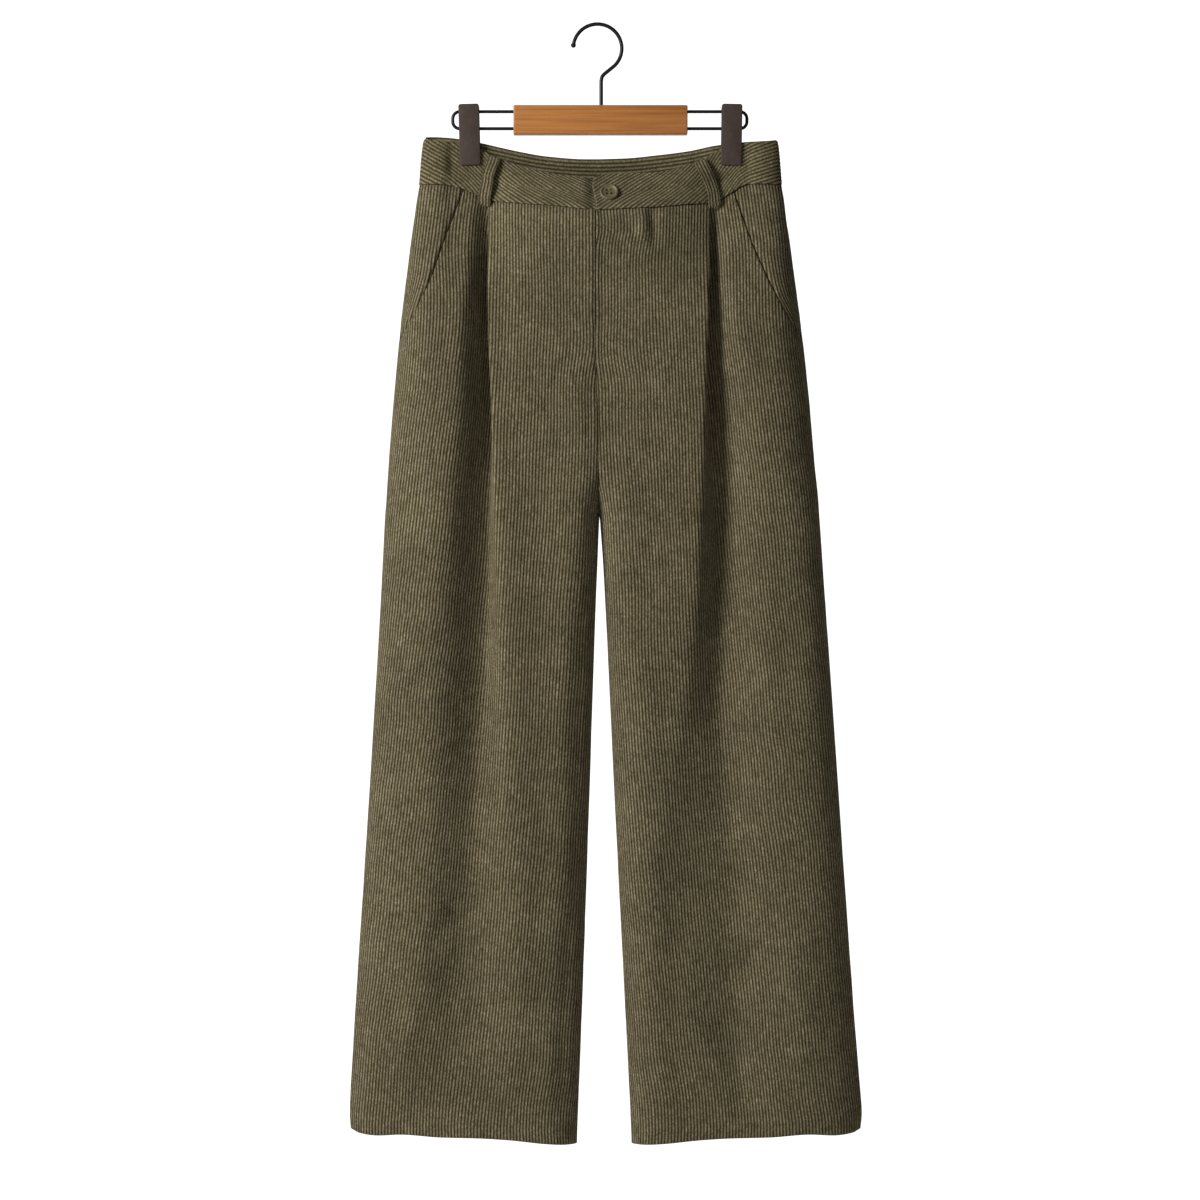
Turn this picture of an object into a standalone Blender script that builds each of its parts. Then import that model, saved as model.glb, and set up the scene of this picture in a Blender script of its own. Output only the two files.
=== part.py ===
"""Wide-leg corduroy trousers with one deep pleat a side, held at the waistband by a two-clip hanger.

Metres, +Z up, the front faces -Y. The origin is the inside of the hook's crown, where a rail carries it.
The tables are in millimetres: a drop is measured down from the origin, an out sideways from the garment's
centre line, and a depth forwards or backwards from the plane of the side seams. Right and left are the
wearer's, so the right leg lies at -X.

Each panel is a loft: sections at rising drops, drawn from the centre or inseam to the side, are joined into
an open sheet down the middle of the cloth, and Solidify gives it the cloth's thickness.
"""

import math
from types import SimpleNamespace

import bmesh
import bpy
import numpy as np
from mathutils import Matrix, Vector

MM = 0.001

# Cloth
CLOTH = 1.6  # one layer of wide-wale corduroy
BAND_CLOTH = 3.4  # two layers and an interlining
LOOP_CLOTH = 1.8
SEAM_GAP = 0.3
HALF_GAP = SEAM_GAP / 2
CENTRE_X = 2.0  # the garment hangs this far to the left of the hook
FRONT, BACK = -1, 1
HEM_TURN_UP = 28.0
HEM_LAYER_STEP = CLOTH + SEAM_GAP
WAIST_GAP = 1.1  # between the waistband's lower edge and what hangs from it
LAYER_STEP = 2.4  # between the middles of two layers of a pressed pleat
POCKET_UNDERLAP = 14.0  # how far the pocket facing runs on behind the front
FACING_STEP = 3.3

# Levels. A level is the drop of a section at the centre front; near the waist and the hem
# the sections bend to follow those two edges.
WAIST_LEVEL = 186.4
WAIST_FADE = 90.0
HEM_LEVEL = 1116.4
HEM_FADE = 76.0
CROTCH_LEVEL = 494.0
RISE_TURN = 54.0  # height over which the centre seam turns under to the crotch
WAIST_TO_HIP = 110.0
WAIST_LIP = 24.0  # height over which the fronts leave the slope of the waistband
INSEAM_ROUND = 30.0
INSEAM_FROM = 480.0  # from here down a section's inner end runs straight back, as its outer end does

# Fly, under the left front's edge
FLY_FOOT = 336.0
FLY_RUN_OUT = 8.0
FLY_UNDERLAP = 10.0
FLY_STEP = 2.4
FLY_EDGE = 3.0  # how far the left front crosses the centre line
SEAM_SHIFT = 2.5  # how far right of the centre line the seam lies below the fly
TAB_UNDERLAP = 25.0
TAB_STEP = 4.3
TAB_CLEAR = 11.0  # the under band is fully set back up to here, and level again a ramp further out
TAB_RAMP = 14.0

# Hanger
HOOK_WIRE = 3.8
HOOK_RADIUS = 24.3
HOOK_FOOT_X = 3.7
HOOK_TIP_ANGLE = 172.5
HOOK_NECK_ANGLE = -45.0
HOOK_NECK = ((5.2, -46.4), (2.2, -49), (0.6, -51.6), (0, -55))  # out from the foot, and height
HOOK_BALL = 5.2
BAR_SIZE = (174.0, 14.0, 29.1)
BAR_CENTRE = (3.0, 0.0, -94.35)
BAR_ROUND = 1.2
SOCKET_DEPTH = 18.0
HOOK_SOCKET_DEPTH = 12.0
CUTTER_PAST = 2.0  # how far a drill stands out of the wood it bores
LOOP_WIRE = 3.3
WIRE_DROPS = (85.7, 102.7)
WIRE_ENDS_X = {"right": -144.7, "left": 149.4}
WIRE_CORNER = 7.0
JAW_SIZE = (20.6, 2.6, 61.2)
JAW_DROP = 109.2
JAW_CORNER = 2.4
JAW_EDGE = 0.5
JAWS = {"right": (-127.9, 1.6), "left": (134.0, -0.9)}  # centre x, lean in degrees
GRIP = 4.4  # from the mid-plane to a jaw's inner face
SADDLE_SIZE = (15.0, 7.8, 27.0)
SADDLE_DROP = 94.2

# Button
BUTTON_RADIUS = 9.3
BUTTON_THICK = 3.0
BUTTON_RIM = 1.6
BUTTON_DISH = 1.9  # thickness inside the rim
BUTTON_HOLE = 0.85
BUTTON_HOLE_SPACING = 3.7
BUTTON_OUT = 9.6
BUTTON_HEIGHT_SHARE = 0.48
BUTTON_SHANK = 0.7

LOOP_WIDTH = 11.5
LOOP_ARCH = 6.2
LOOP_FOOT_CLEARANCE = 0.7


def smooth_curve(xs, ys, x):
    """The value at x of a smooth curve through the points that never runs past them."""
    xs, ys = np.asarray(xs, float), np.asarray(ys, float)
    step = np.diff(xs)
    rate = np.diff(ys) / step
    slope = np.concatenate([rate[:1], np.zeros(len(xs) - 2), rate[-1:]])
    same_way = rate[:-1] * rate[1:] > 0
    total = np.where(same_way, rate[:-1] + rate[1:], 1.0)
    slope[1:-1] = np.where(same_way, 2 * rate[:-1] * rate[1:] / total, 0.0)
    x = np.clip(x, xs[0], xs[-1])
    i = np.clip(np.searchsorted(xs, x, side="right") - 1, 0, len(step) - 1)
    t = (x - xs[i]) / step[i]
    left = ys[i] * (1 + 2 * t) + slope[i] * step[i] * t
    right = ys[i + 1] * (3 - 2 * t) - slope[i + 1] * step[i] * (1 - t)
    return left * (1 - t) ** 2 + right * t**2


def smoothstep(t):
    t = np.clip(t, 0.0, 1.0)
    return t * t * (3 - 2 * t)


def quarter_round(t):
    """0 at t = 0, rising as a quarter circle to 1 at t = 1."""
    return np.sqrt(1 - (1 - np.clip(t, 0.0, 1.0)) ** 2)


class Table:
    """Rows of sizes under named columns, read at any value of the first column."""

    def __init__(self, columns, *rows):
        self.columns = columns
        self.rows = np.array(rows, float)

    def read(self, column, at):
        values = self.rows[:, self.columns.index(column)]
        return smooth_curve(self.rows[:, 0], values, at)

    def row(self, at):
        return SimpleNamespace(**{name: self.read(name, at) for name in self.columns})


DEPTHS = Table(
    ("level", "front", "back", "side_round"),
    (186.4, 30, 20, 13),
    (234, 34, 25, 20),
    (274, 34, 27, 28),
    (374, 32, 27, 38),
    (494, 29, 25, 44),
    (574, 27, 24, 44),
    (774, 25, 23, 44),
    (974, 24, 22, 44),
    (1118, 22, 21, 42),
)

# Half the thickness of the opening at the waistband's top edge, where the clips grip it, and its lower edge.
BAND_DEPTHS = Table(
    ("out", "front_top", "front_grip", "front_foot", "back_top", "back_grip", "back_foot"),
    (0, 10, 17.5, 28, 7, 12, 18),
    (40, 9, 16.5, 26.5, 6.5, 11, 17),
    (80, 6, 12, 20, 5, 8, 13.5),
    (104, 3.4, 5.5, 12, 3.2, 4.6, 8.5),
    (115, 2.2, 2.2, 7.8, 2.2, 2.2, 5.8),
    (148, 2.2, 2.2, 6.5, 2.2, 2.2, 5.2),
    (158, 4.4, 6.2, 8.4, 4, 5.6, 7.4),
    (167, 5.4, 7.4, 9, 5, 6.6, 8),
    (200, 5.4, 7.4, 9, 5, 6.6, 8),
)

# The hem's drop across a leg, from inseam (0) to side seam (1).
HEM_LINE = Table(
    ("share", "drop"),
    (0, 1115.4),
    (0.12, 1116.4),
    (0.2, 1116.2),
    (0.4, 1113),
    (0.58, 1111.2),
    (0.78, 1108.6),
    (0.94, 1106.2),
    (1, 1101.8),
)

BACK_SEAM_LINE = Table(
    ("out", "drop"), (0, 176.5), (50, 173.5), (100, 166), (140, 160.5), (182, 159)
)

RIGHT = SimpleNamespace(
    name="right",
    side=-1,
    over=False,
    outline=Table(
        ("level", "outer", "inner"),
        (186.4, 178.8, 0.15),
        (200, 181.7, 0.15),
        (214, 184.2, 0.15),
        (234, 188.2, 0.15),
        (274, 194.8, 0.15),
        (374, 204.7, 0.15),
        (440, 210, 0.25),
        (480, 212.6, 1.25),
        (494, 213.7, 1.3),
        (574, 217.7, 4.2),
        (774, 229.7, 11.2),
        (974, 242.7, 18.2),
        (1074, 248.2, 22),
        (1100, 248.8, 23),
        (1118, 247.6, 23.6),
    ),
    pleat=Table(
        ("level", "crest", "lap", "sink", "rise", "soft"),
        (186.4, 110.1, 17, 4.8, 26, 1.1),
        (204, 110.1, 16, 5.6, 28, 1.2),
        (234, 110.2, 14, 9, 34, 1.6),
        (274, 110, 11, 14, 42, 2.2),
        (314, 109.6, 8, 17, 50, 2.8),
        (368, 107.4, 4, 18.5, 56, 3.6),
        (420, 105.8, 0, 19, 60, 4.5),
        (474, 104.6, -5, 18, 62, 5.5),
        (574, 101.5, -11, 15, 66, 8),
        (674, 99.8, -16, 12.5, 66, 9),
        (774, 99.5, -22, 9.5, 64, 10),
        (874, 101, -28, 5.5, 62, 12),
        (974, 105, -34, 1.5, 60, 14),
        (1040, 108, -36, 0, 60, 14),
    ),
    band_outer=Table(("height", "out"), (0, 173.6), (0.12, 175.2), (1, 178.8)),
    band_inner=Table(("height", "out"), (0, -TAB_UNDERLAP), (1, -TAB_UNDERLAP)),
    band_top=Table(
        ("out", "drop"),
        (-25, 153.4),
        (6, 153.4),
        (32, 151.4),
        (60, 146.4),
        (82, 140),
        (102, 133),
        (120, 124.4),
        (142, 118.4),
        (166, 117),
        (176, 116),
    ),
    seam_line=Table(
        ("out", "drop"),
        (-25, 186.4),
        (4, 186.4),
        (46, 182.1),
        (80, 179.4),
        (104, 176.4),
        (120, 170.4),
        (138, 163.1),
        (158, 159.4),
        (182, 159.2),
    ),
    back_top=Table(
        ("out", "drop"),
        (0, 133.2),
        (14, 133.2),
        (54, 130.4),
        (78, 126.4),
        (102, 121.4),
        (120, 117.4),
        (142, 113.4),
        (165, 111.4),
        (176, 114.8),
    ),
    pocket=Table(
        ("drop", "out"),
        (160, 133.4),
        (195, 146),
        (221, 155.5),
        (249, 164.5),
        (277, 176.5),
        (301, 188.9),
        (312, 193.5),
        (345, 207),
    ),
)

LEFT = SimpleNamespace(
    name="left",
    side=1,
    over=True,
    outline=Table(
        ("level", "outer", "inner"),
        (186.4, 180.8, 0.15),
        (200, 183.5, 0.15),
        (214, 185.7, 0.15),
        (234, 190, 0.15),
        (274, 197, 0.15),
        (374, 208.7, 0.15),
        (440, 214.4, 0.25),
        (480, 218.4, 1.25),
        (494, 219.2, 1.3),
        (574, 224.7, 6.2),
        (774, 238.7, 16.2),
        (974, 252.7, 26.2),
        (1074, 260.2, 31.2),
        (1100, 261.4, 32.4),
        (1118, 260.2, 33),
    ),
    pleat=Table(
        ("level", "crest", "lap", "sink", "rise", "soft"),
        (186.4, 109.5, 17, 4.8, 26, 1.1),
        (204, 109.4, 16, 6, 28, 1.2),
        (234, 109, 13, 10, 32, 1.6),
        (274, 108.2, 9, 15, 38, 2.2),
        (314, 107.2, 5, 18, 42, 2.8),
        (368, 105.8, 0, 19, 46, 3.6),
        (420, 104.4, -6, 19, 48, 4.5),
        (474, 103, -14, 18, 50, 5.5),
        (574, 97, -26, 16, 52, 8),
        (674, 82.5, -44, 14, 52, 10),
        (774, 72.5, -56, 11, 52, 12),
        (874, 69, -66, 7, 52, 14),
        (974, 76, -66, 3, 52, 14),
        (1060, 96, -50, 0, 52, 14),
    ),
    band_outer=Table(("height", "out"), (0, 176.6), (0.12, 177.6), (1, 180.8)),
    band_inner=Table(
        ("height", "out"), (0, -1.5), (0.12, -4.8), (0.3, -6.2), (0.6, -4.6), (1, -1.5)
    ),
    band_top=Table(
        ("out", "drop"),
        (-8, 150.4),
        (0, 149.9),
        (22, 149.1),
        (50, 148.4),
        (70, 145.4),
        (84, 141.4),
        (96, 137.2),
        (106, 132.6),
        (121, 123.9),
        (142, 118.4),
        (178, 115.9),
    ),
    seam_line=Table(
        ("out", "drop"),
        (-10, 186.4),
        (0, 186.4),
        (22, 185.4),
        (56, 183.4),
        (98, 179),
        (112, 178),
        (122, 173),
        (132, 167.4),
        (141, 161.2),
        (150, 158.9),
        (184, 158.6),
    ),
    back_top=Table(
        ("out", "drop"),
        (0, 133.2),
        (26, 132.4),
        (58, 129.4),
        (90, 125.4),
        (115, 120.4),
        (142, 117),
        (162, 115.4),
        (180, 114.6),
    ),
    pocket=Table(
        ("drop", "out"),
        (160, 131.2),
        (196, 143.1),
        (231, 155.9),
        (266, 171.5),
        (293, 186.2),
        (320, 195.5),
        (330, 198.9),
        (362, 212),
    ),
)

LEGS = (RIGHT, LEFT)

# Where the sheets have their rows and columns: levels down the leg, shares across each stretch of a section.
PANEL_LEVELS = (194, 204, 218, 236, 256, 278, 300, 320, 335, 345, 366, 392, 420, 446, 466, 480, 489, 494)
PANEL_LEVELS += (499, 512, 540, 580, 630, 690, 760, 840, 920, 1000, 1056, HEM_LEVEL - HEM_TURN_UP)
BACK_LEVELS = (200, 218, 242, 274, 320, 374, 420, 450, 470, 484, 491, 494, 500, 525, 580)
BACK_LEVELS += (680, 800, 920, 1030, HEM_LEVEL - HEM_TURN_UP)
FACING_LEVELS = (200, 216, 236, 256, 276, 296, 310, 321)
INSIDE_SHARES = (0, 0.035, 0.08, 0.15, 0.3, 0.5, 0.7, 0.87, 0.965)
OUTSIDE_SHARES = (0.05, 0.14, 0.27, 0.4, 0.53, 0.65, 0.76, 0.86, 0.93, 0.98, 1)
BACK_SHARES = (0, 0.015, 0.04, 0.09, 0.17, 0.28, 0.42, 0.58, 0.72, 0.83, 0.91, 0.96, 0.985, 1)
BAND_SHARES = (*np.linspace(0, 0.9, 19), 0.935, 0.965, 0.985, 1)
BAND_HEIGHTS = (0, 0.14, 0.34, 0.56, 0.78, 1)
FACING_SHARES = (0, 0.13, 0.26, 0.39, 0.52, 0.65, 0.77, 0.87, 0.94, 0.98, 1)
SECTION_STEP = 0.5
SAMPLES = 60  # along each side of a pleat, before a section is respaced
FACING_LEVEL_AGAIN = (280, 30)  # from this level down, over this height, a facing stays set in to its end


def drop_at(leg, out, level, face):
    """The drop of the point at this out on the section at this level."""
    seam = leg.seam_line if face == FRONT else BACK_SEAM_LINE
    near_waist = 1 - smoothstep((level - WAIST_LEVEL) / WAIST_FADE)
    near_hem = smoothstep((level - HEM_LEVEL + HEM_FADE) / HEM_FADE)
    edge = leg.outline.row(level)
    share = (out - edge.inner) / (edge.outer - edge.inner)
    to_seam = (seam.read("drop", out) - WAIST_LEVEL) * near_waist
    to_hem = (HEM_LINE.read("drop", share) - HEM_LEVEL) * near_hem
    return level + to_seam + to_hem


def depth_at(leg, out, level, face):
    """How far the cloth's middle stands from the plane of the side seams, leaving out the pleat."""
    size, edge = DEPTHS.row(level), leg.outline.row(level)
    kind = "front" if face == FRONT else "back"
    at_waist = BAND_DEPTHS.read(kind + "_foot", out)
    at_hip = size.front if face == FRONT else size.back
    below = level - WAIST_LEVEL
    tilt = (at_waist - BAND_DEPTHS.read(kind + "_grip", out)) / WAIST_LIP
    lip = np.clip(below / WAIST_LIP, 0, 1)
    depth = at_waist + (at_hip - at_waist) * smoothstep(below / WAIST_TO_HIP)
    depth = depth + tilt * WAIST_LIP * lip * (1 - lip) ** 2
    turn = np.clip((level - CROTCH_LEVEL + RISE_TURN) / RISE_TURN, 0, 1)
    closed = 1 - math.sqrt(1 - turn**2)
    inseam = quarter_round((out - edge.inner) / INSEAM_ROUND)
    side = quarter_round((edge.outer - out) / size.side_round)
    return depth * side * (1 - closed * (1 - inseam))


def fly_step(leg, out, level):
    """How far the right front is set back where it runs under the fly."""
    if leg.over:
        return 0.0
    along = 1 - smoothstep((level - FLY_FOOT - FLY_RUN_OUT) / (3 * FLY_RUN_OUT))
    return FLY_STEP * along * (1 - smoothstep((out - FLY_EDGE - 1) / FLY_UNDERLAP))


def inner_edge(leg, level):
    """Where a front starts: at the fly, then the centre seam, then the inseam."""
    edge = leg.outline.read("inner", level)
    below_fly = smoothstep((level - FLY_FOOT) / FLY_RUN_OUT)
    to_crotch = 1 - smoothstep((level - FLY_FOOT) / (CROTCH_LEVEL - RISE_TURN - FLY_FOOT))
    shift = SEAM_SHIFT * to_crotch * below_fly
    if leg.over:
        return edge - FLY_EDGE * (1 - below_fly) - shift
    return edge - FLY_UNDERLAP * (1 - below_fly) + shift


def pocket_edge(leg, level):
    """The out at which the slant pocket mouth crosses the section at this level."""
    out = leg.pocket.read("out", level)
    for _ in range(6):
        out = leg.pocket.read("out", drop_at(leg, out, level, FRONT))
    return out


def front_edge(leg, level):
    """Where a front ends: at the pocket mouth, then at the side seam."""
    side = leg.outline.read("outer", level)
    last_drop = leg.pocket.rows[-1, 0]
    return side if level > last_drop else min(side, pocket_edge(leg, level))


def sunk_depth(leg, out, level):
    """The depth of a front outside its pleat, where it climbs from the pleat's trough to the side."""
    fold = leg.pleat.row(level)
    climb = smoothstep((out - fold.crest + fold.lap) / fold.rise)
    shown = quarter_round((leg.outline.read("outer", level) - out) / DEPTHS.read("side_round", level))
    return depth_at(leg, out, level, FRONT) - fold.sink * (1 - climb) * shown


def even_steps(points):
    """The same path with its points one SECTION_STEP apart, and the run along it to each old point."""
    run = np.concatenate([[0], np.cumsum(np.hypot(*np.diff(points, axis=0).T))])
    marks = np.linspace(0, run[-1], max(int(run[-1] / SECTION_STEP), 8))
    return np.stack([np.interp(marks, run, points[:, k]) for k in (0, 1)], axis=1), run


def softened(points, spread):
    """The path with its corners rounded by a running mean that keeps both ends."""
    reach = max(int(3 * spread / SECTION_STEP), 1)
    reach = min(reach, len(points) - 1)
    weights = np.exp(-0.5 * (np.arange(-reach, reach + 1) * SECTION_STEP / spread) ** 2)
    weights /= weights.sum()
    before = 2 * points[0] - points[reach:0:-1]
    after = 2 * points[-1] - points[-2 : -reach - 2 : -1]
    longer = np.concatenate([before, points, after])
    return np.stack([np.convolve(longer[:, k], weights, "valid") for k in (0, 1)], axis=1)


def front_section(leg, level):
    """(out, depth) of a front's columns: over the centre, round the pleat's two folds and out to the side."""
    fold = leg.pleat.row(level)
    start, crest, trough = inner_edge(leg, level), fold.crest, fold.crest - fold.lap
    ease = np.linspace(0, math.pi / 2, SAMPLES)
    inside = start + (crest - start) * (1 - np.cos(ease))
    outside = trough + (front_edge(leg, level) - trough) * np.sin(ease)
    over = depth_at(leg, inside, level, FRONT) - fly_step(leg, inside, level)
    under = sunk_depth(leg, outside, level)
    layer = min(LAYER_STEP, fold.sink / 2)
    turns = [(crest, over[-1] - layer), (trough, under[0] + layer)]
    path = np.concatenate([np.stack([inside, over], 1), turns, np.stack([outside, under], 1)])
    points, run = even_steps(path)
    points = softened(points, fold.soft)
    at_crest, past_crest, at_trough, past_trough = run[SAMPLES - 1 : SAMPLES + 3]
    reach = min(0.8 + 0.4 * fold.soft, 0.3 * (at_trough - past_crest))  # a fold's rounding, by its softness
    wanted = [share * (at_crest - reach) for share in INSIDE_SHARES]
    wanted += [at_crest - reach, (at_crest + past_crest) / 2, past_crest + reach]
    wanted += [(past_crest + at_trough) / 2]
    wanted += [at_trough - reach, (at_trough + past_trough) / 2, past_trough + reach]
    last = wanted[-1]
    wanted += [last + share * (run[-1] - last) for share in OUTSIDE_SHARES]
    marks = np.linspace(0, run[-1], len(points))
    return np.stack([np.interp(wanted, marks, points[:, k]) for k in (0, 1)], axis=1)


def back_section(leg, level):
    edge = leg.outline.row(level)
    ease = np.linspace(0, math.pi, 2 * SAMPLES)
    outs = edge.inner + (edge.outer - edge.inner) * (1 - np.cos(ease)) / 2
    points, _ = even_steps(np.stack([outs, depth_at(leg, outs, level, BACK)], 1))
    marks = np.linspace(0, 1, len(points))
    return np.stack([np.interp(BACK_SHARES, marks, points[:, k]) for k in (0, 1)], axis=1)


def facing_section(leg, level):
    """(out, depth) of the pocket facing, set in behind the front and level with it at the side seam."""
    start, end = front_edge(leg, level) - POCKET_UNDERLAP, leg.outline.read("outer", level)
    outs = start + (end - start) * np.sin(np.linspace(0, math.pi / 2, SAMPLES))
    path, _ = even_steps(np.stack([outs, sunk_depth(leg, outs, level)], 1))
    along = np.gradient(path, axis=0)
    inward = np.stack([-np.abs(along[:, 1]), -np.abs(along[:, 0])], 1)
    inward /= np.linalg.norm(inward, axis=1)[:, None]
    mouth = start + POCKET_UNDERLAP
    from_level, height = FACING_LEVEL_AGAIN
    level_again = smoothstep((path[:, 0] - mouth) / max(end - mouth, 1))
    level_again = level_again * (1 - smoothstep((level - from_level) / height))
    path = path + inward * (FACING_STEP * (1 - level_again))[:, None]
    marks = np.linspace(0, 1, len(path))
    return np.stack([np.interp(FACING_SHARES, marks, path[:, k]) for k in (0, 1)], axis=1)


def placed(leg, section, level, face):
    """The section's points in space: x, y and z in millimetres."""
    out, depth = section[:, 0].copy(), section[:, 1]
    if depth[-1] < SEAM_GAP:
        out[-2] = out[-1]
    if level >= INSEAM_FROM:
        out[1] = out[0]
    drop = drop_at(leg, out, level, face)
    y = face * np.maximum(depth, HALF_GAP)
    return np.stack([CENTRE_X + leg.side * out, y, -drop], axis=1)


def outward_normals(grid, flip):
    across, down = np.gradient(grid, axis=1), np.gradient(grid, axis=0)
    normal = np.cross(across, down) * (-1 if flip else 1)
    return normal / np.linalg.norm(normal, axis=2)[:, :, None]


def with_hem(grid, flip):
    """The panel with its hem turned up inside: the last two levels again, one layer further in."""
    inward = -outward_normals(grid, flip)
    turned = grid[-1:-3:-1] + HEM_LAYER_STEP * inward[-1:-3:-1]
    turned[:, 1, 0], turned[:, -2, 0] = turned[:, 0, 0], turned[:, -1, 0]
    return np.concatenate([grid, turned])


def band_depth(out, height, kind):
    """The waistband's depth at a share of its height, 0 at the top edge and 1 at the seam."""
    top, grip, foot = (BAND_DEPTHS.read(f"{kind}_{part}", out) for part in ("top", "grip", "foot"))
    upper = top + (grip - top) * smoothstep(2 * height)
    return upper + (foot - grip) * smoothstep(2 * height - 1)


def band_point(leg, out, height, face):
    """A point on the middle of the waistband."""
    top = leg.band_top if face == FRONT else leg.back_top
    seam = leg.seam_line if face == FRONT else BACK_SEAM_LINE
    drop = top.read("drop", out) * (1 - height) + seam.read("drop", out) * height
    end = leg.band_outer.read("out", height)
    depth = band_depth(np.abs(out), height, "front" if face == FRONT else "back")
    depth = depth * quarter_round((end - out) / DEPTHS.rows[0, 3])
    if face == FRONT and not leg.over:
        depth = depth - TAB_STEP * (1 - smoothstep((out - TAB_CLEAR) / TAB_RAMP))
    y = face * np.maximum(depth, HALF_GAP)
    return np.stack([CENTRE_X + leg.side * out, y, -drop], axis=-1)


def band_row(leg, start, height, face, shares):
    end = leg.band_outer.read("out", height)
    outs = start + (end - start) * np.sin(np.linspace(0, math.pi / 2, 3 * SAMPLES))
    points = band_point(leg, outs, height, face)
    run = np.concatenate([[0], np.cumsum(np.linalg.norm(np.diff(points, axis=0), axis=1))])
    marks = np.array(shares) * run[-1]
    row = np.stack([np.interp(marks, run, points[:, k]) for k in range(3)], axis=1)
    row[-2, 0] = row[-1, 0]
    return row


def material(name, colour, roughness, metallic=0.0):
    made = bpy.data.materials.new(name)
    made.use_nodes = True
    shader = made.node_tree.nodes["Principled BSDF"]
    shader.inputs["Base Color"].default_value = (*colour, 1)
    shader.inputs["Roughness"].default_value = roughness
    shader.inputs["Metallic"].default_value = metallic
    return made


def new_object(name, data, collection, finish):
    obj = bpy.data.objects.new(name, data)
    data.materials.append(finish)
    collection.objects.link(obj)
    return obj


def sheet_object(name, grid, flip, thickness, collection, finish):
    """An open sheet through a grid of points in millimetres, thickened evenly to both sides."""
    rows, columns = grid.shape[:2]
    index = np.arange(rows * columns).reshape(rows, columns)
    quads = np.stack([index[:-1, :-1], index[:-1, 1:], index[1:, 1:], index[1:, :-1]], axis=-1)
    quads = quads.reshape(-1, 4)
    if flip:
        quads = quads[:, ::-1]
    mesh = bpy.data.meshes.new(name)
    mesh.from_pydata((grid.reshape(-1, 3) * MM).tolist(), [], quads.tolist())
    mesh.shade_smooth()
    obj = new_object(name, mesh, collection, finish)
    wall = obj.modifiers.new("Cloth", "SOLIDIFY")
    wall.thickness = thickness * MM
    wall.offset = 0.0
    return obj


def make_panels(collection, finish):
    for leg in LEGS:
        top = WAIST_LEVEL + WAIST_GAP
        levels = (top, *PANEL_LEVELS, HEM_LEVEL)
        front = np.stack([placed(leg, front_section(leg, level), level, FRONT) for level in levels])
        flip = leg.side == 1
        sheet_object(f"front_{leg.name}", with_hem(front, flip), flip, CLOTH, collection, finish)
        levels = (top, *BACK_LEVELS, HEM_LEVEL)
        back = np.stack([placed(leg, back_section(leg, level), level, BACK) for level in levels])
        flip = leg.side == -1
        sheet_object(f"back_{leg.name}", with_hem(back, flip), flip, CLOTH, collection, finish)


def make_pocket_facings(collection, finish):
    for leg in LEGS:
        levels = (WAIST_LEVEL + WAIST_GAP, *FACING_LEVELS)
        grid = np.stack([placed(leg, facing_section(leg, level), level, FRONT) for level in levels])
        sheet_object(f"pocket_facing_{leg.name}", grid, leg.side == 1, CLOTH, collection, finish)


def make_waistbands(collection, finish):
    for leg in LEGS:
        starts = [leg.band_inner.read("out", height) for height in BAND_HEIGHTS]
        rows = [band_row(leg, s, h, FRONT, BAND_SHARES) for s, h in zip(starts, BAND_HEIGHTS)]
        name = f"waistband_front_{leg.name}"
        sheet_object(name, np.stack(rows), leg.side == 1, BAND_CLOTH, collection, finish)
    halves = [
        np.stack([band_row(leg, 0.0, height, BACK, BAND_SHARES) for height in BAND_HEIGHTS])
        for leg in LEGS
    ]
    grid = np.concatenate([halves[0][:, :0:-1], halves[1]], axis=1)
    sheet_object("waistband_back", grid, False, BAND_CLOTH, collection, finish)


def band_frame(leg, out, height, face, reach=1.0):
    """A point on the waistband and the directions along it, down it and out of it."""
    share = reach / (leg.seam_line.read("drop", out) - leg.band_top.read("drop", out))
    here = band_point(leg, np.float64(out), np.float64(height), face)
    ends = [band_point(leg, np.float64(out + k * reach), np.float64(height), face) for k in (-1, 1)]
    along = ends[1] - ends[0]
    ends = [band_point(leg, np.float64(out), np.float64(height + k * share), face) for k in (-1, 1)]
    down = ends[1] - ends[0]
    away = np.cross(along, down)
    away *= math.copysign(1.0, away[1] * face)
    return here, *(v / np.linalg.norm(v) for v in (along, down, away))


BELT_LOOPS = Table(
    ("loop", "side", "face", "top_out", "top_drop", "foot_out", "foot_drop"),
    (0, -1, FRONT, 104.6, 132.4, 114.4, 180.6),
    (1, 1, FRONT, 100.6, 136.2, 115.4, 181.6),
    (2, -1, BACK, 98, 124, 98, 172),
    (3, 1, BACK, 98, 124.5, 98, 172),
    (4, 1, BACK, 0, 134.5, 0, 182.5),
)
LOOP_NAMES = ("front_right", "front_left", "back_right", "back_left", "back_centre")
LOOP_STEPS = 12
LOOP_FLAT = (1.25, 0.8)  # a belt loop's arch: a half sine to this power, cut level at the top


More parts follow.
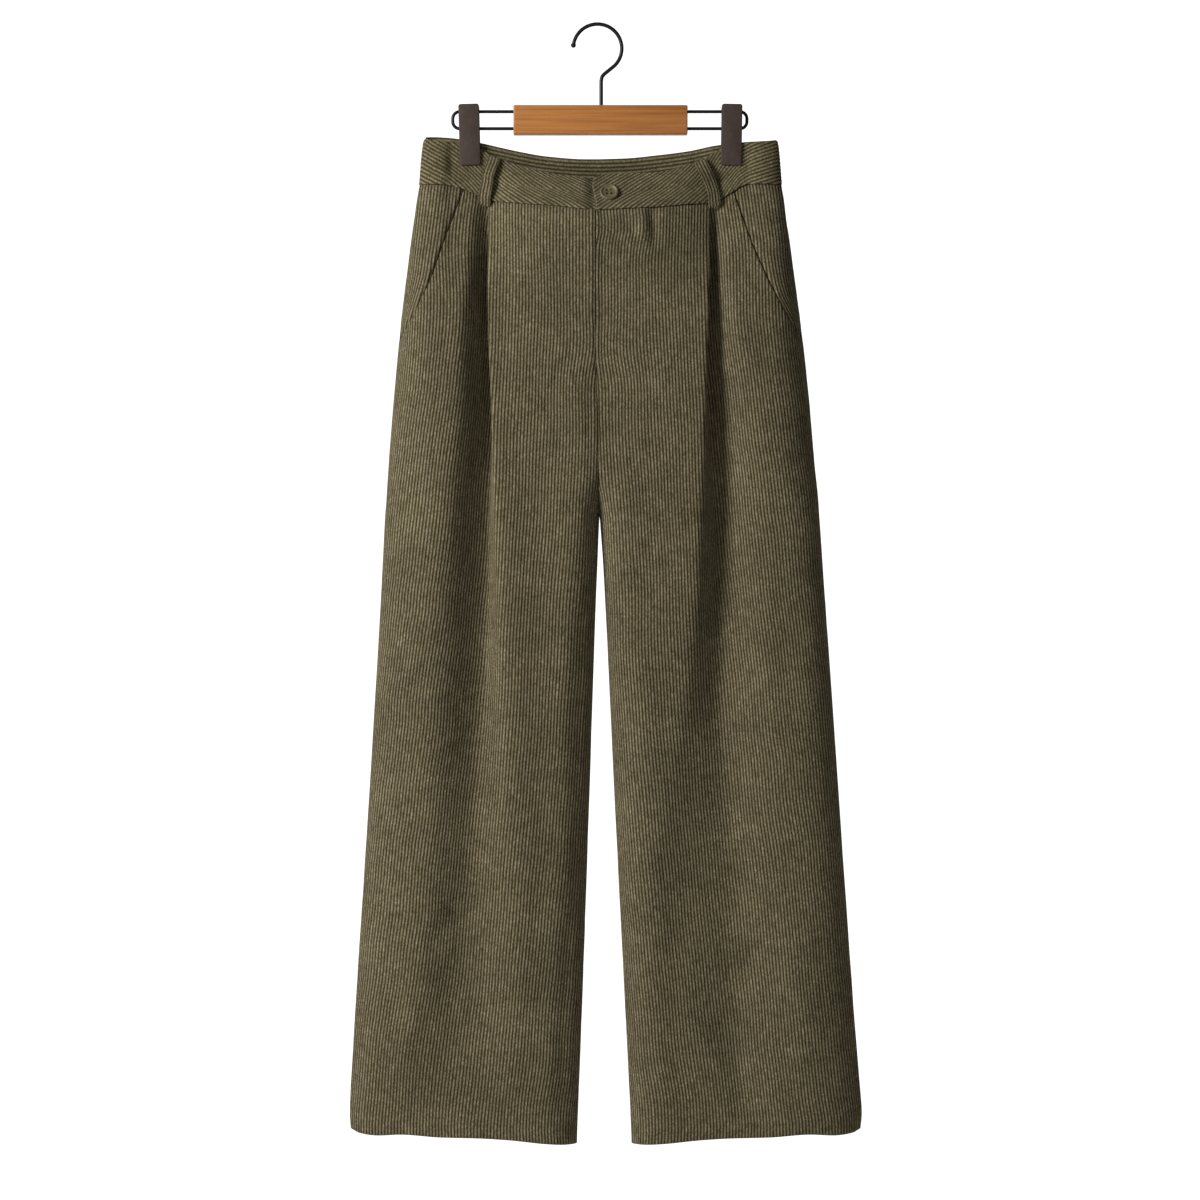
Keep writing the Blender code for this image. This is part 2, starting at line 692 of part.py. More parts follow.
def make_belt_loops(collection, finish):
    for name, row in zip(LOOP_NAMES, BELT_LOOPS.rows):
        size = SimpleNamespace(**dict(zip(BELT_LOOPS.columns, row)))
        leg = RIGHT if size.side < 0 else LEFT
        face = int(size.face)
        top_line = leg.band_top if face == FRONT else leg.back_top
        seam = leg.seam_line if face == FRONT else BACK_SEAM_LINE
        rows = []
        for step in range(LOOP_STEPS + 1):
            share = step / LOOP_STEPS
            out = size.top_out + (size.foot_out - size.top_out) * share
            drop = size.top_drop + (size.foot_drop - size.top_drop) * share
            top, foot = top_line.read("drop", out), seam.read("drop", out)
            height = (drop - top) / (foot - top)
            here, along, down, away = band_frame(leg, out, min(height, 1.0), face)
            here = here + down * max(height - 1.0, 0) * (foot - top)
            lift = BAND_CLOTH / 2 + SEAM_GAP + LOOP_CLOTH / 2 + LOOP_FOOT_CLEARANCE * share
            rise, power = LOOP_FLAT
            lift += LOOP_ARCH * min(1.0, rise * max(math.sin(math.pi * share), 0) ** power)
            middle = here + away * lift
            lean = leg.side * (size.foot_out - size.top_out)
            across = np.cross((lean, 0, size.top_drop - size.foot_drop), away)
            across *= math.copysign(1.0, across[0]) / np.linalg.norm(across)
            rows.append([middle + across * LOOP_WIDTH * s for s in (-0.5, 0.0, 0.5)])
        sheet_object(f"belt_loop_{name}", np.array(rows), face == BACK, LOOP_CLOTH, collection, finish)


def cutter(name, mesh, collection):
    obj = bpy.data.objects.new(name, mesh)
    obj.hide_render = True
    obj.display_type = "WIRE"
    collection.objects.link(obj)
    return obj


def cut(obj, tool, operation="DIFFERENCE"):
    boolean = obj.modifiers.new(tool.name, "BOOLEAN")
    boolean.operation = operation
    boolean.solver = "EXACT"
    boolean.object = tool


def rods(name, ends, radius, collection, sides=16):
    """Round cutters, each from one point to another, in millimetres."""
    bm = bmesh.new()
    for start, end in ends:
        start, end = Vector(start) * MM, Vector(end) * MM
        turn = (end - start).to_track_quat("Z", "Y").to_matrix().to_4x4()
        bmesh.ops.create_cone(
            bm,
            cap_ends=True,
            segments=sides,
            radius1=radius * MM,
            radius2=radius * MM,
            depth=(end - start).length,
            matrix=Matrix.Translation((start + end) / 2) @ turn,
        )
    mesh = bpy.data.meshes.new(name)
    bm.to_mesh(mesh)
    bm.free()
    return cutter(name, mesh, collection)


def make_button(collection, cutters, finish):
    """A turned disc with a raised rim and four thread holes, laid on the tab."""
    here, along, down, away = band_frame(LEFT, BUTTON_OUT, BUTTON_HEIGHT_SHARE, FRONT, BUTTON_RADIUS)
    profile = (
        (0.0, BUTTON_DISH),
        (BUTTON_RADIUS - 2 * BUTTON_RIM, BUTTON_DISH),
        (BUTTON_RADIUS - BUTTON_RIM, BUTTON_THICK),
        (BUTTON_RADIUS - 0.4 * BUTTON_RIM, BUTTON_THICK),
        (BUTTON_RADIUS, BUTTON_DISH),
        (BUTTON_RADIUS, BUTTON_THICK - BUTTON_DISH),
        (BUTTON_RADIUS - BUTTON_RIM, 0.0),
        (0.0, 0.0),
    )
    mesh = bpy.data.meshes.new("button")
    edges = [(i, i + 1) for i in range(len(profile) - 1)]
    mesh.from_pydata([(r * MM, 0, z * MM) for r, z in profile], edges, [])
    obj = new_object("button", mesh, collection, finish)
    turn = obj.modifiers.new("Turned", "SCREW")
    turn.steps = turn.render_steps = 28
    turn.use_merge_vertices = True
    turn.merge_threshold = 0.00002
    step = BUTTON_HOLE_SPACING / 2
    corners = [(x, y) for x in (-step, step) for y in (-step, step)]
    through = 2 * BUTTON_THICK
    ends = [((x, y, -through), (x, y, through)) for x, y in corners]
    holes = rods("button_holes", ends, BUTTON_HOLE, cutters, sides=10)
    cut(obj, holes)
    z_axis = Vector(away)
    x_axis = (Vector(along) - z_axis * z_axis.dot(Vector(along))).normalized()
    frame = Matrix((x_axis, z_axis.cross(x_axis), z_axis)).transposed().to_4x4()
    lift = BAND_CLOTH / 2 + BUTTON_SHANK
    obj.matrix_world = Matrix.Translation((Vector(here) + z_axis * lift) * MM) @ frame
    holes.matrix_world = obj.matrix_world


def wire_object(name, points, diameter, collection, finish):
    curve = bpy.data.curves.new(name, "CURVE")
    curve.dimensions = "3D"
    curve.bevel_depth = diameter / 2 * MM
    curve.bevel_resolution = 2
    curve.use_fill_caps = True
    spline = curve.splines.new("POLY")
    spline.points.add(len(points) - 1)
    for point, (x, y, z) in zip(spline.points, points):
        point.co = (x * MM, y * MM, z * MM, 1)
    spline.use_smooth = True
    return new_object(name, curve, collection, finish)


def as_mesh(obj):
    """The same object as a mesh with welded caps, so that it can be joined or cut."""
    bpy.context.view_layer.update()
    evaluated = obj.evaluated_get(bpy.context.evaluated_depsgraph_get())
    mesh = bpy.data.meshes.new_from_object(evaluated)
    bm = bmesh.new()
    bm.from_mesh(mesh)
    bmesh.ops.remove_doubles(bm, verts=bm.verts, dist=1e-6)
    bm.to_mesh(mesh)
    bm.free()
    name, collection, place = obj.name, obj.users_collection[0], obj.matrix_world.copy()
    bpy.data.objects.remove(obj)
    made = bpy.data.objects.new(name, mesh)
    made.matrix_world = place
    collection.objects.link(made)
    return made


def arc(centre, radius, start, end, steps):
    """Points in the XZ plane on a circle, between two angles in degrees."""
    angles = np.radians(np.linspace(start, end, steps))
    return [(centre[0] + radius * math.cos(a), 0.0, centre[1] + radius * math.sin(a)) for a in angles]


def make_hook(collection, cutters, finish):
    centre = (0.0, HOOK_WIRE / 2 - HOOK_RADIUS)
    crook = arc(centre, HOOK_RADIUS, HOOK_TIP_ANGLE, HOOK_NECK_ANGLE, 20)
    bar_top = BAR_CENTRE[2] + BAR_SIZE[2] / 2
    neck = [(HOOK_FOOT_X + out, 0.0, height) for out, height in HOOK_NECK]
    neck.append((HOOK_FOOT_X, 0.0, bar_top - HOOK_SOCKET_DEPTH))
    wire = as_mesh(wire_object("hook", crook + neck, HOOK_WIRE, collection, finish))
    ball = bmesh.new()
    tip = Matrix.Translation(Vector(crook[0]) * MM)
    bmesh.ops.create_uvsphere(ball, u_segments=14, v_segments=8, radius=HOOK_BALL / 2 * MM, matrix=tip)
    mesh = bpy.data.meshes.new("hook_ball")
    ball.to_mesh(mesh)
    ball.free()
    cut(wire, cutter("hook_ball", mesh, cutters), "UNION")


def make_bar(collection, cutters, finish):
    """The wooden bar, bored at its ends for the two wire loops and on top for the hook."""
    bm = bmesh.new()
    place = Matrix.Translation(Vector(BAR_CENTRE) * MM) @ Matrix.Diagonal((*(s * MM for s in BAR_SIZE), 1))
    bmesh.ops.create_cube(bm, size=1.0, matrix=place)
    bmesh.ops.bevel(bm, geom=bm.edges[:], offset=BAR_ROUND * MM, segments=2, profile=0.5, affect="EDGES")
    mesh = bpy.data.meshes.new("wooden_bar")
    bm.to_mesh(mesh)
    bm.free()
    bar = new_object("wooden_bar", mesh, collection, finish)
    ends = []
    for side in (-1, 1):
        face = BAR_CENTRE[0] + side * BAR_SIZE[0] / 2
        for drop in WIRE_DROPS:
            root = face - side * (SOCKET_DEPTH + SEAM_GAP)
            ends.append(((face + side * CUTTER_PAST, 0, -drop), (root, 0, -drop)))
    cut(bar, rods("loop_sockets", ends, LOOP_WIRE / 2 + SEAM_GAP, cutters))
    top = BAR_CENTRE[2] + BAR_SIZE[2] / 2
    mouth = (HOOK_FOOT_X, 0, top + CUTTER_PAST)
    foot = (HOOK_FOOT_X, 0, top - HOOK_SOCKET_DEPTH - SEAM_GAP)
    cut(bar, rods("hook_socket", [(mouth, foot)], HOOK_WIRE / 2 + SEAM_GAP, cutters))


def make_wire_loops(collection, finish):
    for name, end in WIRE_ENDS_X.items():
        side = math.copysign(1, end)
        root = BAR_CENTRE[0] + side * (BAR_SIZE[0] / 2 - SOCKET_DEPTH)
        upper, lower = WIRE_DROPS
        turn = end - side * WIRE_CORNER
        points = [(root, 0, -upper)]
        points += [
            (turn + side * WIRE_CORNER * math.sin(a), 0, -upper - WIRE_CORNER * (1 - math.cos(a)))
            for a in np.linspace(0, math.pi / 2, 6)
        ]
        points += [
            (turn + side * WIRE_CORNER * math.cos(a), 0, -lower + WIRE_CORNER * (1 - math.sin(a)))
            for a in np.linspace(0, math.pi / 2, 6)
        ]
        points.append((root, 0, -lower))
        wire_object(f"wire_loop_{name}", points, LOOP_WIRE, collection, finish)


def rounded_plate(name, size, corner, collection, finish):
    """A flat plate in the XZ plane with round corners, centred on its object."""
    width, thick, height = size
    curve = bpy.data.curves.new(name, "CURVE")
    curve.dimensions = "2D"
    curve.fill_mode = "BOTH"
    curve.extrude = (thick / 2 - JAW_EDGE) * MM
    curve.bevel_depth = JAW_EDGE * MM
    curve.bevel_resolution = 1
    curve.offset = -JAW_EDGE * MM
    outline = []
    for k, (sx, sz) in enumerate(((1, 1), (-1, 1), (-1, -1), (1, -1))):
        for angle in np.linspace(k * math.pi / 2, (k + 1) * math.pi / 2, 5):
            x = sx * (width / 2 - corner) + corner * math.cos(angle)
            z = sz * (height / 2 - corner) + corner * math.sin(angle)
            outline.append((x, z))
    spline = curve.splines.new("POLY")
    spline.points.add(len(outline) - 1)
    for point, (x, z) in zip(spline.points, outline):
        point.co = (x * MM, z * MM, 0, 1)
    spline.use_cyclic_u = True
    return new_object(name, curve, collection, finish)


def make_clips(collection, cutters, jaw_finish, saddle_finish):
    """Two jaws close on the waistband, on a saddle that is bored for the wires."""
    for name, (x, lean) in JAWS.items():
        for face, jaw_name in ((FRONT, "front"), (BACK, "back")):
            jaw_name = f"clip_{name}_{jaw_name}_jaw"
            jaw = rounded_plate(jaw_name, JAW_SIZE, JAW_CORNER, collection, jaw_finish)
            y = face * (GRIP + JAW_SIZE[1] / 2)
            turn = Matrix.Rotation(math.radians(-lean), 4, "Y") @ Matrix.Rotation(math.pi / 2, 4, "X")
            jaw.matrix_world = Matrix.Translation(Vector((x, y, -JAW_DROP)) * MM) @ turn
        bm = bmesh.new()
        place = Matrix.Translation(Vector((x, 0, -SADDLE_DROP)) * MM)
        place = place @ Matrix.Diagonal((*(s * MM for s in SADDLE_SIZE), 1))
        bmesh.ops.create_cube(bm, size=1.0, matrix=place)
        mesh = bpy.data.meshes.new(f"clip_{name}_saddle")
        bm.to_mesh(mesh)
        bm.free()
        saddle = new_object(f"clip_{name}_saddle", mesh, collection, saddle_finish)
        half = SADDLE_SIZE[0] / 2 + CUTTER_PAST
        ends = [((x - half, 0, -drop), (x + half, 0, -drop)) for drop in WIRE_DROPS]
        cut(saddle, rods(f"clip_{name}_bores", ends, LOOP_WIRE / 2 + SEAM_GAP, cutters))


def main():
    for obj in list(bpy.data.objects):
        bpy.data.objects.remove(obj)
    parts = bpy.data.collections.new("corduroy_trousers_on_hanger")
    cutters = bpy.data.collections.new("cutters")
    for collection in (parts, cutters):
        bpy.context.scene.collection.children.link(collection)
    cloth = material("olive_corduroy", (0.105, 0.088, 0.05), 0.92)
    horn = material("brown_button", (0.11, 0.095, 0.055), 0.45)
    wood = material("oiled_wood", (0.4, 0.17, 0.05), 0.5)
    wire = material("blackened_wire", (0.025, 0.024, 0.024), 0.45, 1.0)
    jaw = material("brown_plastic", (0.06, 0.045, 0.038), 0.5)
    make_panels(parts, cloth)
    make_pocket_facings(parts, cloth)
    make_waistbands(parts, cloth)
    make_belt_loops(parts, cloth)
    make_button(parts, cutters, horn)
    make_hook(parts, cutters, wire)
    make_bar(parts, cutters, wood)
    make_wire_loops(parts, wire)
    make_clips(parts, cutters, jaw, wire)


main()
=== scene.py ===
"""Wide-leg corduroy trousers on a two-clip hanger: the cloth with its wales, the sewing and the hanger.

Metres, +Z up, the front faces -Y, and the origin is the inside of the hook's crown. The tables are in
millimetres, as the frame's own are: a drop is measured down from the origin, an out sideways from the
garment's centre line, and a depth forwards or backwards from the plane of the side seams. Right and
left are the wearer's, so the right leg lies at -X.

Every cloth piece is a sheet of closely spaced points down the middle of the cloth. Its face is set off that
sheet with the wales raised on it, its back is set off the other way, and a rounded rim joins the two.
"""

import logging
import math
from collections.abc import Callable, Iterator, Sequence
from contextlib import contextmanager
from dataclasses import dataclass
from enum import Enum
from functools import partial

import bmesh
import bpy
import numpy as np
from mathutils import Matrix, Vector


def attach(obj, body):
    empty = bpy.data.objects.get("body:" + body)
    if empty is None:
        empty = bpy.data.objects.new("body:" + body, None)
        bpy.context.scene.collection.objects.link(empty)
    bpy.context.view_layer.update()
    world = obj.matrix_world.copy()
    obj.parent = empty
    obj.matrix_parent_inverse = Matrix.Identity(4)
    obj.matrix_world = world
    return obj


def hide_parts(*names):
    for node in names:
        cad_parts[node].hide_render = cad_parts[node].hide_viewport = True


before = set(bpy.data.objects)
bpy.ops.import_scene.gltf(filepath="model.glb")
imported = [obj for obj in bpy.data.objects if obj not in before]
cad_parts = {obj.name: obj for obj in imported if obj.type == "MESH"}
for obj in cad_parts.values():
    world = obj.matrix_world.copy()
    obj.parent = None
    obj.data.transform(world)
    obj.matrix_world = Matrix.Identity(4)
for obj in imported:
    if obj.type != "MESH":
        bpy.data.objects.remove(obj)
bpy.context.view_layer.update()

LOG = logging.getLogger("trousers")
MM = 0.001

# The cloth and how its layers lie, as in the frame
CLOTH = 1.6
BAND_CLOTH = 3.4
LOOP_CLOTH = 1.8
SEAM_GAP = 0.3
CENTRE_X = 2.0
WAIST_GAP = 0.35
LAYER_STEP = 2.4
HEM_TURN_UP = 28.0
HEM_LAYER_STEP = CLOTH + SEAM_GAP
HEM_CLEAR = 0.6  # the inside steps in over this much above and below the turned-up edge
SEAM_ALLOWANCE = 12.0

# Drops at which the legs change
WAIST_LEVEL = 186.4
WAIST_FADE = 90.0
WAIST_LIP = 24.0
WAIST_TO_HIP = 110.0
CROTCH_LEVEL = 494.0
CROTCH_EASE = 1.4
RISE_TURN = 54.0
INSEAM_ROUND = 30.0
HEM_LEVEL = 1116.4
HEM_FADE = 76.0

# The fly, the seam below it and the tab
FLY_FOOT = 336.0
FLY_RUN_OUT = 8.0
FLY_UNDERLAP = 10.0
FLY_STEP = 2.4
FLY_EDGE = 3.0
FLY_RAMP = 2.8
EDGE_LIFT = 1.0  # how far a folded edge stands off what it laps over
EDGE_LIFT_REACH = 3.0
SEAM_SHIFT = 2.5
SEAM_PINCH = 1.5  # the waist seam draws the cloth in
SEAM_PINCH_REACH = 3.2
TAB_UNDERLAP = 25.0
TAB_STEP = 4.3
TAB_CLEAR = 5.0
TAB_RAMP = 12.0

# The pleats, the pocket mouths and the creases
PLEAT_SHADE = 2.0  # how far under the crest the outer cloth starts to climb
FOLD_REACH = 0.8  # a fold's bend is drawn finely this far to either side
FOLD_REACH_SOFT = 0.4  # and this much further for each millimetre of its softness
FOLD_REACH_SHARE = 0.3  # but over no more of the layer between the two folds
POCKET_UNDERLAP = 14.0
MOUTH_CREVICE = 4.0
FACING_STEP = 3.3
FACING_LEVEL_FROM = 302.0  # from here down the facing comes level with the front
FACING_LEVEL_OVER = 14.0
CREASE_CLEAR = 8.0  # a crease fades where the cloth comes closer than this to the plane of the seams
# The ribs' slow waves: size, period across and down, and how much of the side's sign is added
WANDERS = ((0.45, 23, 61, 1), (0.35, 47, -37, 0), (0.25, 15, 17, 0))

# The belt loops and the topstitching
LOOP_WIDTH = 11.5
LOOP_ARCH = 3.8
LOOP_ARCH_RISE = 1.25
LOOP_ARCH_POWER = 0.8
LOOP_FOOT_CLEARANCE = 0.7
FLY_WIDTH = 38.0
FLY_CURVE = 34.0
FLY_HOOK = 0.62  # the share of the fly's width that its stitching crosses in the curve
FLY_STITCH_TOP = 188.0
FLY_STITCH_FOOT = FLY_FOOT + 1.5
FLY_LEVEL_OUTS = (FLY_WIDTH * 0.36, -1.0)  # where the stitching runs level to the edge
FLY_SAMPLES = 240
FLY_TACK = (8.5, 15.5)
FLY_TACK_DROP = FLY_FOOT + 0.4
TACK_OVER = 0.3  # how far the fly's tack stands over its stitching
TACK_ROW = 3  # a loop's tack lies on this row from its end
TACK_INSET = 2  # and leaves out as many of the row's points at each side
STITCH_LIFT = 0.86
TACK_LIFT = 1.12

# The button and the hanger
BUTTON_OUT = 9.6
BUTTON_HEIGHT_SHARE = 0.56
BUTTON_SHANK = 0.7
HOOK_WIRE = 3.8
HOOK_RADIUS = 24.3
HOOK_FOOT_X = 3.7
HOOK_ANGLES = (172.5, -45.0)
HOOK_NECK = ((5.2, -46.4), (2.2, -49), (0.6, -51.6), (0, -55))
HOOK_BALL = 5.2
HOOK_SOCKET_DEPTH = 12.0
BAR_SIZE = (174.0, 14.0, 29.1)
BAR_CENTRE = (3.0, 0.0, -94.35)
BAR_TOP = BAR_CENTRE[2] + BAR_SIZE[2] / 2
SOCKET_DEPTH = 18.0
CUTTER_PAST = 2.0
LOOP_WIRE = 3.3
WIRE_DROPS = (85.7, 102.7)
WIRE_ENDS_X = {"right": -144.7, "left": 149.4}
WIRE_CORNER = 7.0
JAW_SIZE = (20.6, 2.6, 61.2)
JAW_DROP = 109.2
JAW_CORNER = 2.4
JAWS = {"right": (-127.9, 1.6), "left": (134.0, -0.9)}  # each clip's place along the wires and its lean
GRIP = 4.4
SADDLE_SIZE = (15.0, 7.8, 27.0)
SADDLE_DROP = 94.2

# How finely the sheets are drawn
SECTION_STEP = 0.5
PATH_SAMPLES = 60
SETTLING_STEPS = 6  # repeats that find a level from a drop, or a drop from a level
MARK_CLEAR = 0.12
GRAIN_CLEAR = 2.0  # the grain line lies at least this far in from a row's first point
RIB_ROUNDNESS = 0.6
RIM_SHARES = (0.14, 0.5, 0.86)
LEAST_CUT = 0.3  # a piece fills no less of the rectangle that it is cut from
WEAVE_MAP = "weave"


def smooth_curve(xs: np.ndarray, ys: np.ndarray, x: np.ndarray) -> np.ndarray:
    """The value at x of a smooth curve through the points that never runs past them.

    Args:
        xs: The points' rising places.
        ys: The value at each point.
        x: Where to read the curve; past its ends it keeps the end value.

    Returns:
        The curve's value at each x.
    """
    xs, ys = np.asarray(xs, float), np.asarray(ys, float)
    step = np.diff(xs)
    rate = np.diff(ys) / step
    slope = np.concatenate([rate[:1], np.zeros(len(xs) - 2), rate[-1:]])
    same_way = rate[:-1] * rate[1:] > 0
    total = np.where(same_way, rate[:-1] + rate[1:], 1.0)
    slope[1:-1] = np.where(same_way, 2 * rate[:-1] * rate[1:] / total, 0.0)
    x = np.clip(x, xs[0], xs[-1])
    i = np.clip(np.searchsorted(xs, x, side="right") - 1, 0, len(step) - 1)
    t = (x - xs[i]) / step[i]
    left = ys[i] * (1 + 2 * t) + slope[i] * step[i] * t
    right = ys[i + 1] * (3 - 2 * t) - slope[i + 1] * step[i] * (1 - t)
    return left * (1 - t) ** 2 + right * t**2


def smoothstep(t: np.ndarray) -> np.ndarray:
    """0 up to t = 0, 1 from t = 1, and an even S between."""
    t = np.clip(t, 0.0, 1.0)
    return t * t * (3 - 2 * t)


def quarter_round(t: np.ndarray) -> np.ndarray:
    """0 at t = 0, rising as a quarter circle to 1 at t = 1."""
    return np.sqrt(1 - (1 - np.clip(t, 0.0, 1.0)) ** 2)


def unit(vectors: np.ndarray) -> np.ndarray:
    """The same vectors, each with a length of 1."""
    return vectors / np.maximum(np.linalg.norm(vectors, axis=-1, keepdims=True), 1e-9)


def run_along(points: np.ndarray) -> np.ndarray:
    """How far along the path each of its points lies."""
    return np.concatenate([[0], np.cumsum(np.linalg.norm(np.diff(points, axis=0), axis=1))])


def resampled(points: np.ndarray, run: np.ndarray, marks: np.ndarray) -> np.ndarray:
    """The path's points at the marks along its run."""
    return np.stack([np.interp(marks, run, column) for column in points.T], axis=1)


def even_steps(points: np.ndarray) -> tuple[np.ndarray, np.ndarray]:
    """The same path with points one SECTION_STEP apart, and the run along it to each old point."""
    run = run_along(points)
    return resampled(points, run, np.linspace(0, run[-1], max(int(run[-1] / SECTION_STEP), 8))), run


def softened(points: np.ndarray, spread: float) -> np.ndarray:
    """The path with its corners rounded by a running mean that keeps both ends.

    Args:
        points: The path, in even steps.
        spread: How far the mean reaches, in millimetres.

    Returns:
        The new points.
    """
    reach = min(max(int(3 * spread / SECTION_STEP), 1), len(points) - 1)
    weights = np.exp(-0.5 * (np.arange(-reach, reach + 1) * SECTION_STEP / spread) ** 2)
    weights /= weights.sum()
    before = 2 * points[0] - points[reach:0:-1]
    after = 2 * points[-1] - points[-2 : -reach - 2 : -1]
    longer = np.concatenate([before, points, after])
    return np.stack([np.convolve(column, weights, "valid") for column in longer.T], axis=1)


class Face(Enum):
    """The side of the garment that a panel is on. The value is the sign of its depth along Y."""

    FRONT = -1
    BACK = 1

    @property
    def word(self) -> str:
        """The side's name as the frame's nodes and the tables have it."""
        return self.name.lower()


class Table:
    """Rows of sizes under named columns, read at any value of the first column."""

    def __init__(self, columns: str, *rows: tuple[float, ...]) -> None:
        """Keep the rows as one array, and the columns' names."""
        self.columns = columns.split()
        self.rows = np.array(rows, float)

    def read(self, column: str, at: np.ndarray) -> np.ndarray:
        """The column's value at each value of the first column."""
        return smooth_curve(self.rows[:, 0], self.rows[:, self.columns.index(column)], at)


class Curve:
    """A smooth curve through (place, value) points."""

    def __init__(self, *points: tuple[float, float]) -> None:
        """Keep the points' places and values."""
        self.places, self.values = np.array(points, float).T

    def at(self, place: np.ndarray) -> np.ndarray:
        """The curve's value at each place."""
        return smooth_curve(self.places, self.values, place)


@dataclass(frozen=True)
class Crease:
    """A soft fold that runs down a panel: a trough where its depth is below zero, a ridge above."""

    path: tuple[tuple[float, float], ...]  # (drop, out) points, top to bottom
    width: float
    depth: float
    fade: float = 60.0

    def lift(self, out: np.ndarray, drop: np.ndarray) -> np.ndarray:
        """How far the fold moves each point of the cloth towards the viewer of its face.

        Args:
            out: The points' distances from the centre line.
            drop: The points' drops.

        Returns:
            The move of each, in millimetres.
        """
        drops, outs = np.array(self.path).T
        across = (out - smooth_curve(drops, outs, drop)) / self.width
        ends = smoothstep((drop - drops[0]) / self.fade) * smoothstep((drops[-1] - drop) / self.fade)
        return self.depth * np.exp(-(across**2)) * ends


@dataclass(frozen=True)
class Pull:
    """A place where the ribs swing aside and back, as beside a seam that draws the cloth."""

    drop: float
    out: float
    reach: tuple[float, float]  # down the cloth and across it
    shift: float

    def shift_at(self, out: np.ndarray, drop: float) -> np.ndarray:
        """How far the ribs are moved across the cloth at each point."""
        down, across = (drop - self.drop) / self.reach[0], (out - self.out) / self.reach[1]
        return -self.shift * down * math.exp(-(down**2) / 2) * np.exp(-(across**2))


@dataclass(frozen=True)
class Rumples:
    """The small soft wrinkles of worn cloth over a part of a panel, more of them where it hangs free."""

    seed: int
    outs: tuple[float, float]
    drops: tuple[float, float]
    count: int
    depth: float
    least_share: float = 0.35  # of the depth, for the shallowest
    leans: tuple[float, float] = (15, 80)  # degrees
    widths: tuple[float, float] = (7, 13)
    lengths: tuple[float, float] = (14, 42)

    def lift(self, out: np.ndarray, drop: np.ndarray) -> np.ndarray:
        """How far the wrinkles move each point, as Crease.lift gives it.

        Args:
            out: The points' distances from the centre line.
            drop: The points' drops.

        Returns:
            The move of each, in millimetres.
        """
        rng = np.random.default_rng(self.seed)
        total = np.zeros_like(out)
        for _ in range(self.count):
            x, z = out - rng.uniform(*self.outs), drop - rng.uniform(*self.drops)
            lean = math.radians(rng.uniform(*self.leans)) * rng.choice((-1, 1))
            width, length = rng.uniform(*self.widths), rng.uniform(*self.lengths)
            height = self.depth * rng.uniform(self.least_share, 1) * rng.choice((-1, 1))
            across, along = x * math.cos(lean) + z * math.sin(lean), z * math.cos(lean) - x * math.sin(lean)
            total += height * np.exp(-((across / width) ** 2) - (along / length) ** 2)
        return total


@dataclass(frozen=True)
class Leg:
    """The sizes of one side of the trousers. A dictionary by face has the front's and the back's."""

    name: str
    side: int
    laps_over: bool
    outline: Table
    pleat: Table
    band_outer: Curve
    band_inner: Curve
    band_top: dict[Face, Curve]
    seam: dict[Face, Curve]
    pocket: Curve
    grain: Curve
    side_grain: Curve
    creases: dict[Face, tuple[Crease | Rumples, ...]]
    pulls: tuple[Pull, ...]

    def band(self, face: Face) -> str:
        """The name of the waistband's node on that face."""
        return f"waistband_front_{self.name}" if face is Face.FRONT else "waistband_back"


DEPTHS = Table(
    "level front back side_round",
    (186.4, 30, 20, 20), (234, 34, 25, 24), (274, 34, 27, 28), (374, 32, 27, 38), (494, 29, 25, 44),
    (574, 27, 24, 44), (774, 25, 23, 44), (974, 24, 22, 44), (1118, 22, 21, 42),
)

# Half the thickness of the opening at the waistband's top edge, where the clips grip it, and its lower edge.
BAND_DEPTHS = Table(
    "out front_top front_grip front_foot back_top back_grip back_foot",
    (0, 10, 17.5, 28, 7, 12, 18), (40, 9, 16.5, 26.5, 6.5, 11, 17), (80, 6, 12, 20, 5, 8, 13.5),
    (104, 3.4, 5.5, 12, 3.2, 4.6, 8.5), (115, 2.2, 2.2, 7.8, 2.2, 2.2, 5.8),
    (147, 3, 3.4, 8, 2.4, 2.4, 6), (156, 5.6, 8, 10, 4.4, 6, 8), (164, 6.4, 9, 10.4, 5.2, 7, 8.4),
    (200, 6.4, 9, 10.4, 5.2, 7, 8.4),
)

# The hem's drop across a leg, from inseam (0) to side seam (1).
HEM_LINE = Curve(
    (0, 1116.8), (0.05, 1116), (0.15, 1114), (0.3, 1110.4), (0.43, 1108.6), (0.6, 1107.6), (0.78, 1104.8),
    (0.89, 1106), (0.96, 1105), (1, 1102),
)

BACK_SEAM = Curve((0, 176.5), (50, 173.5), (100, 166), (140, 160.5), (182, 159))

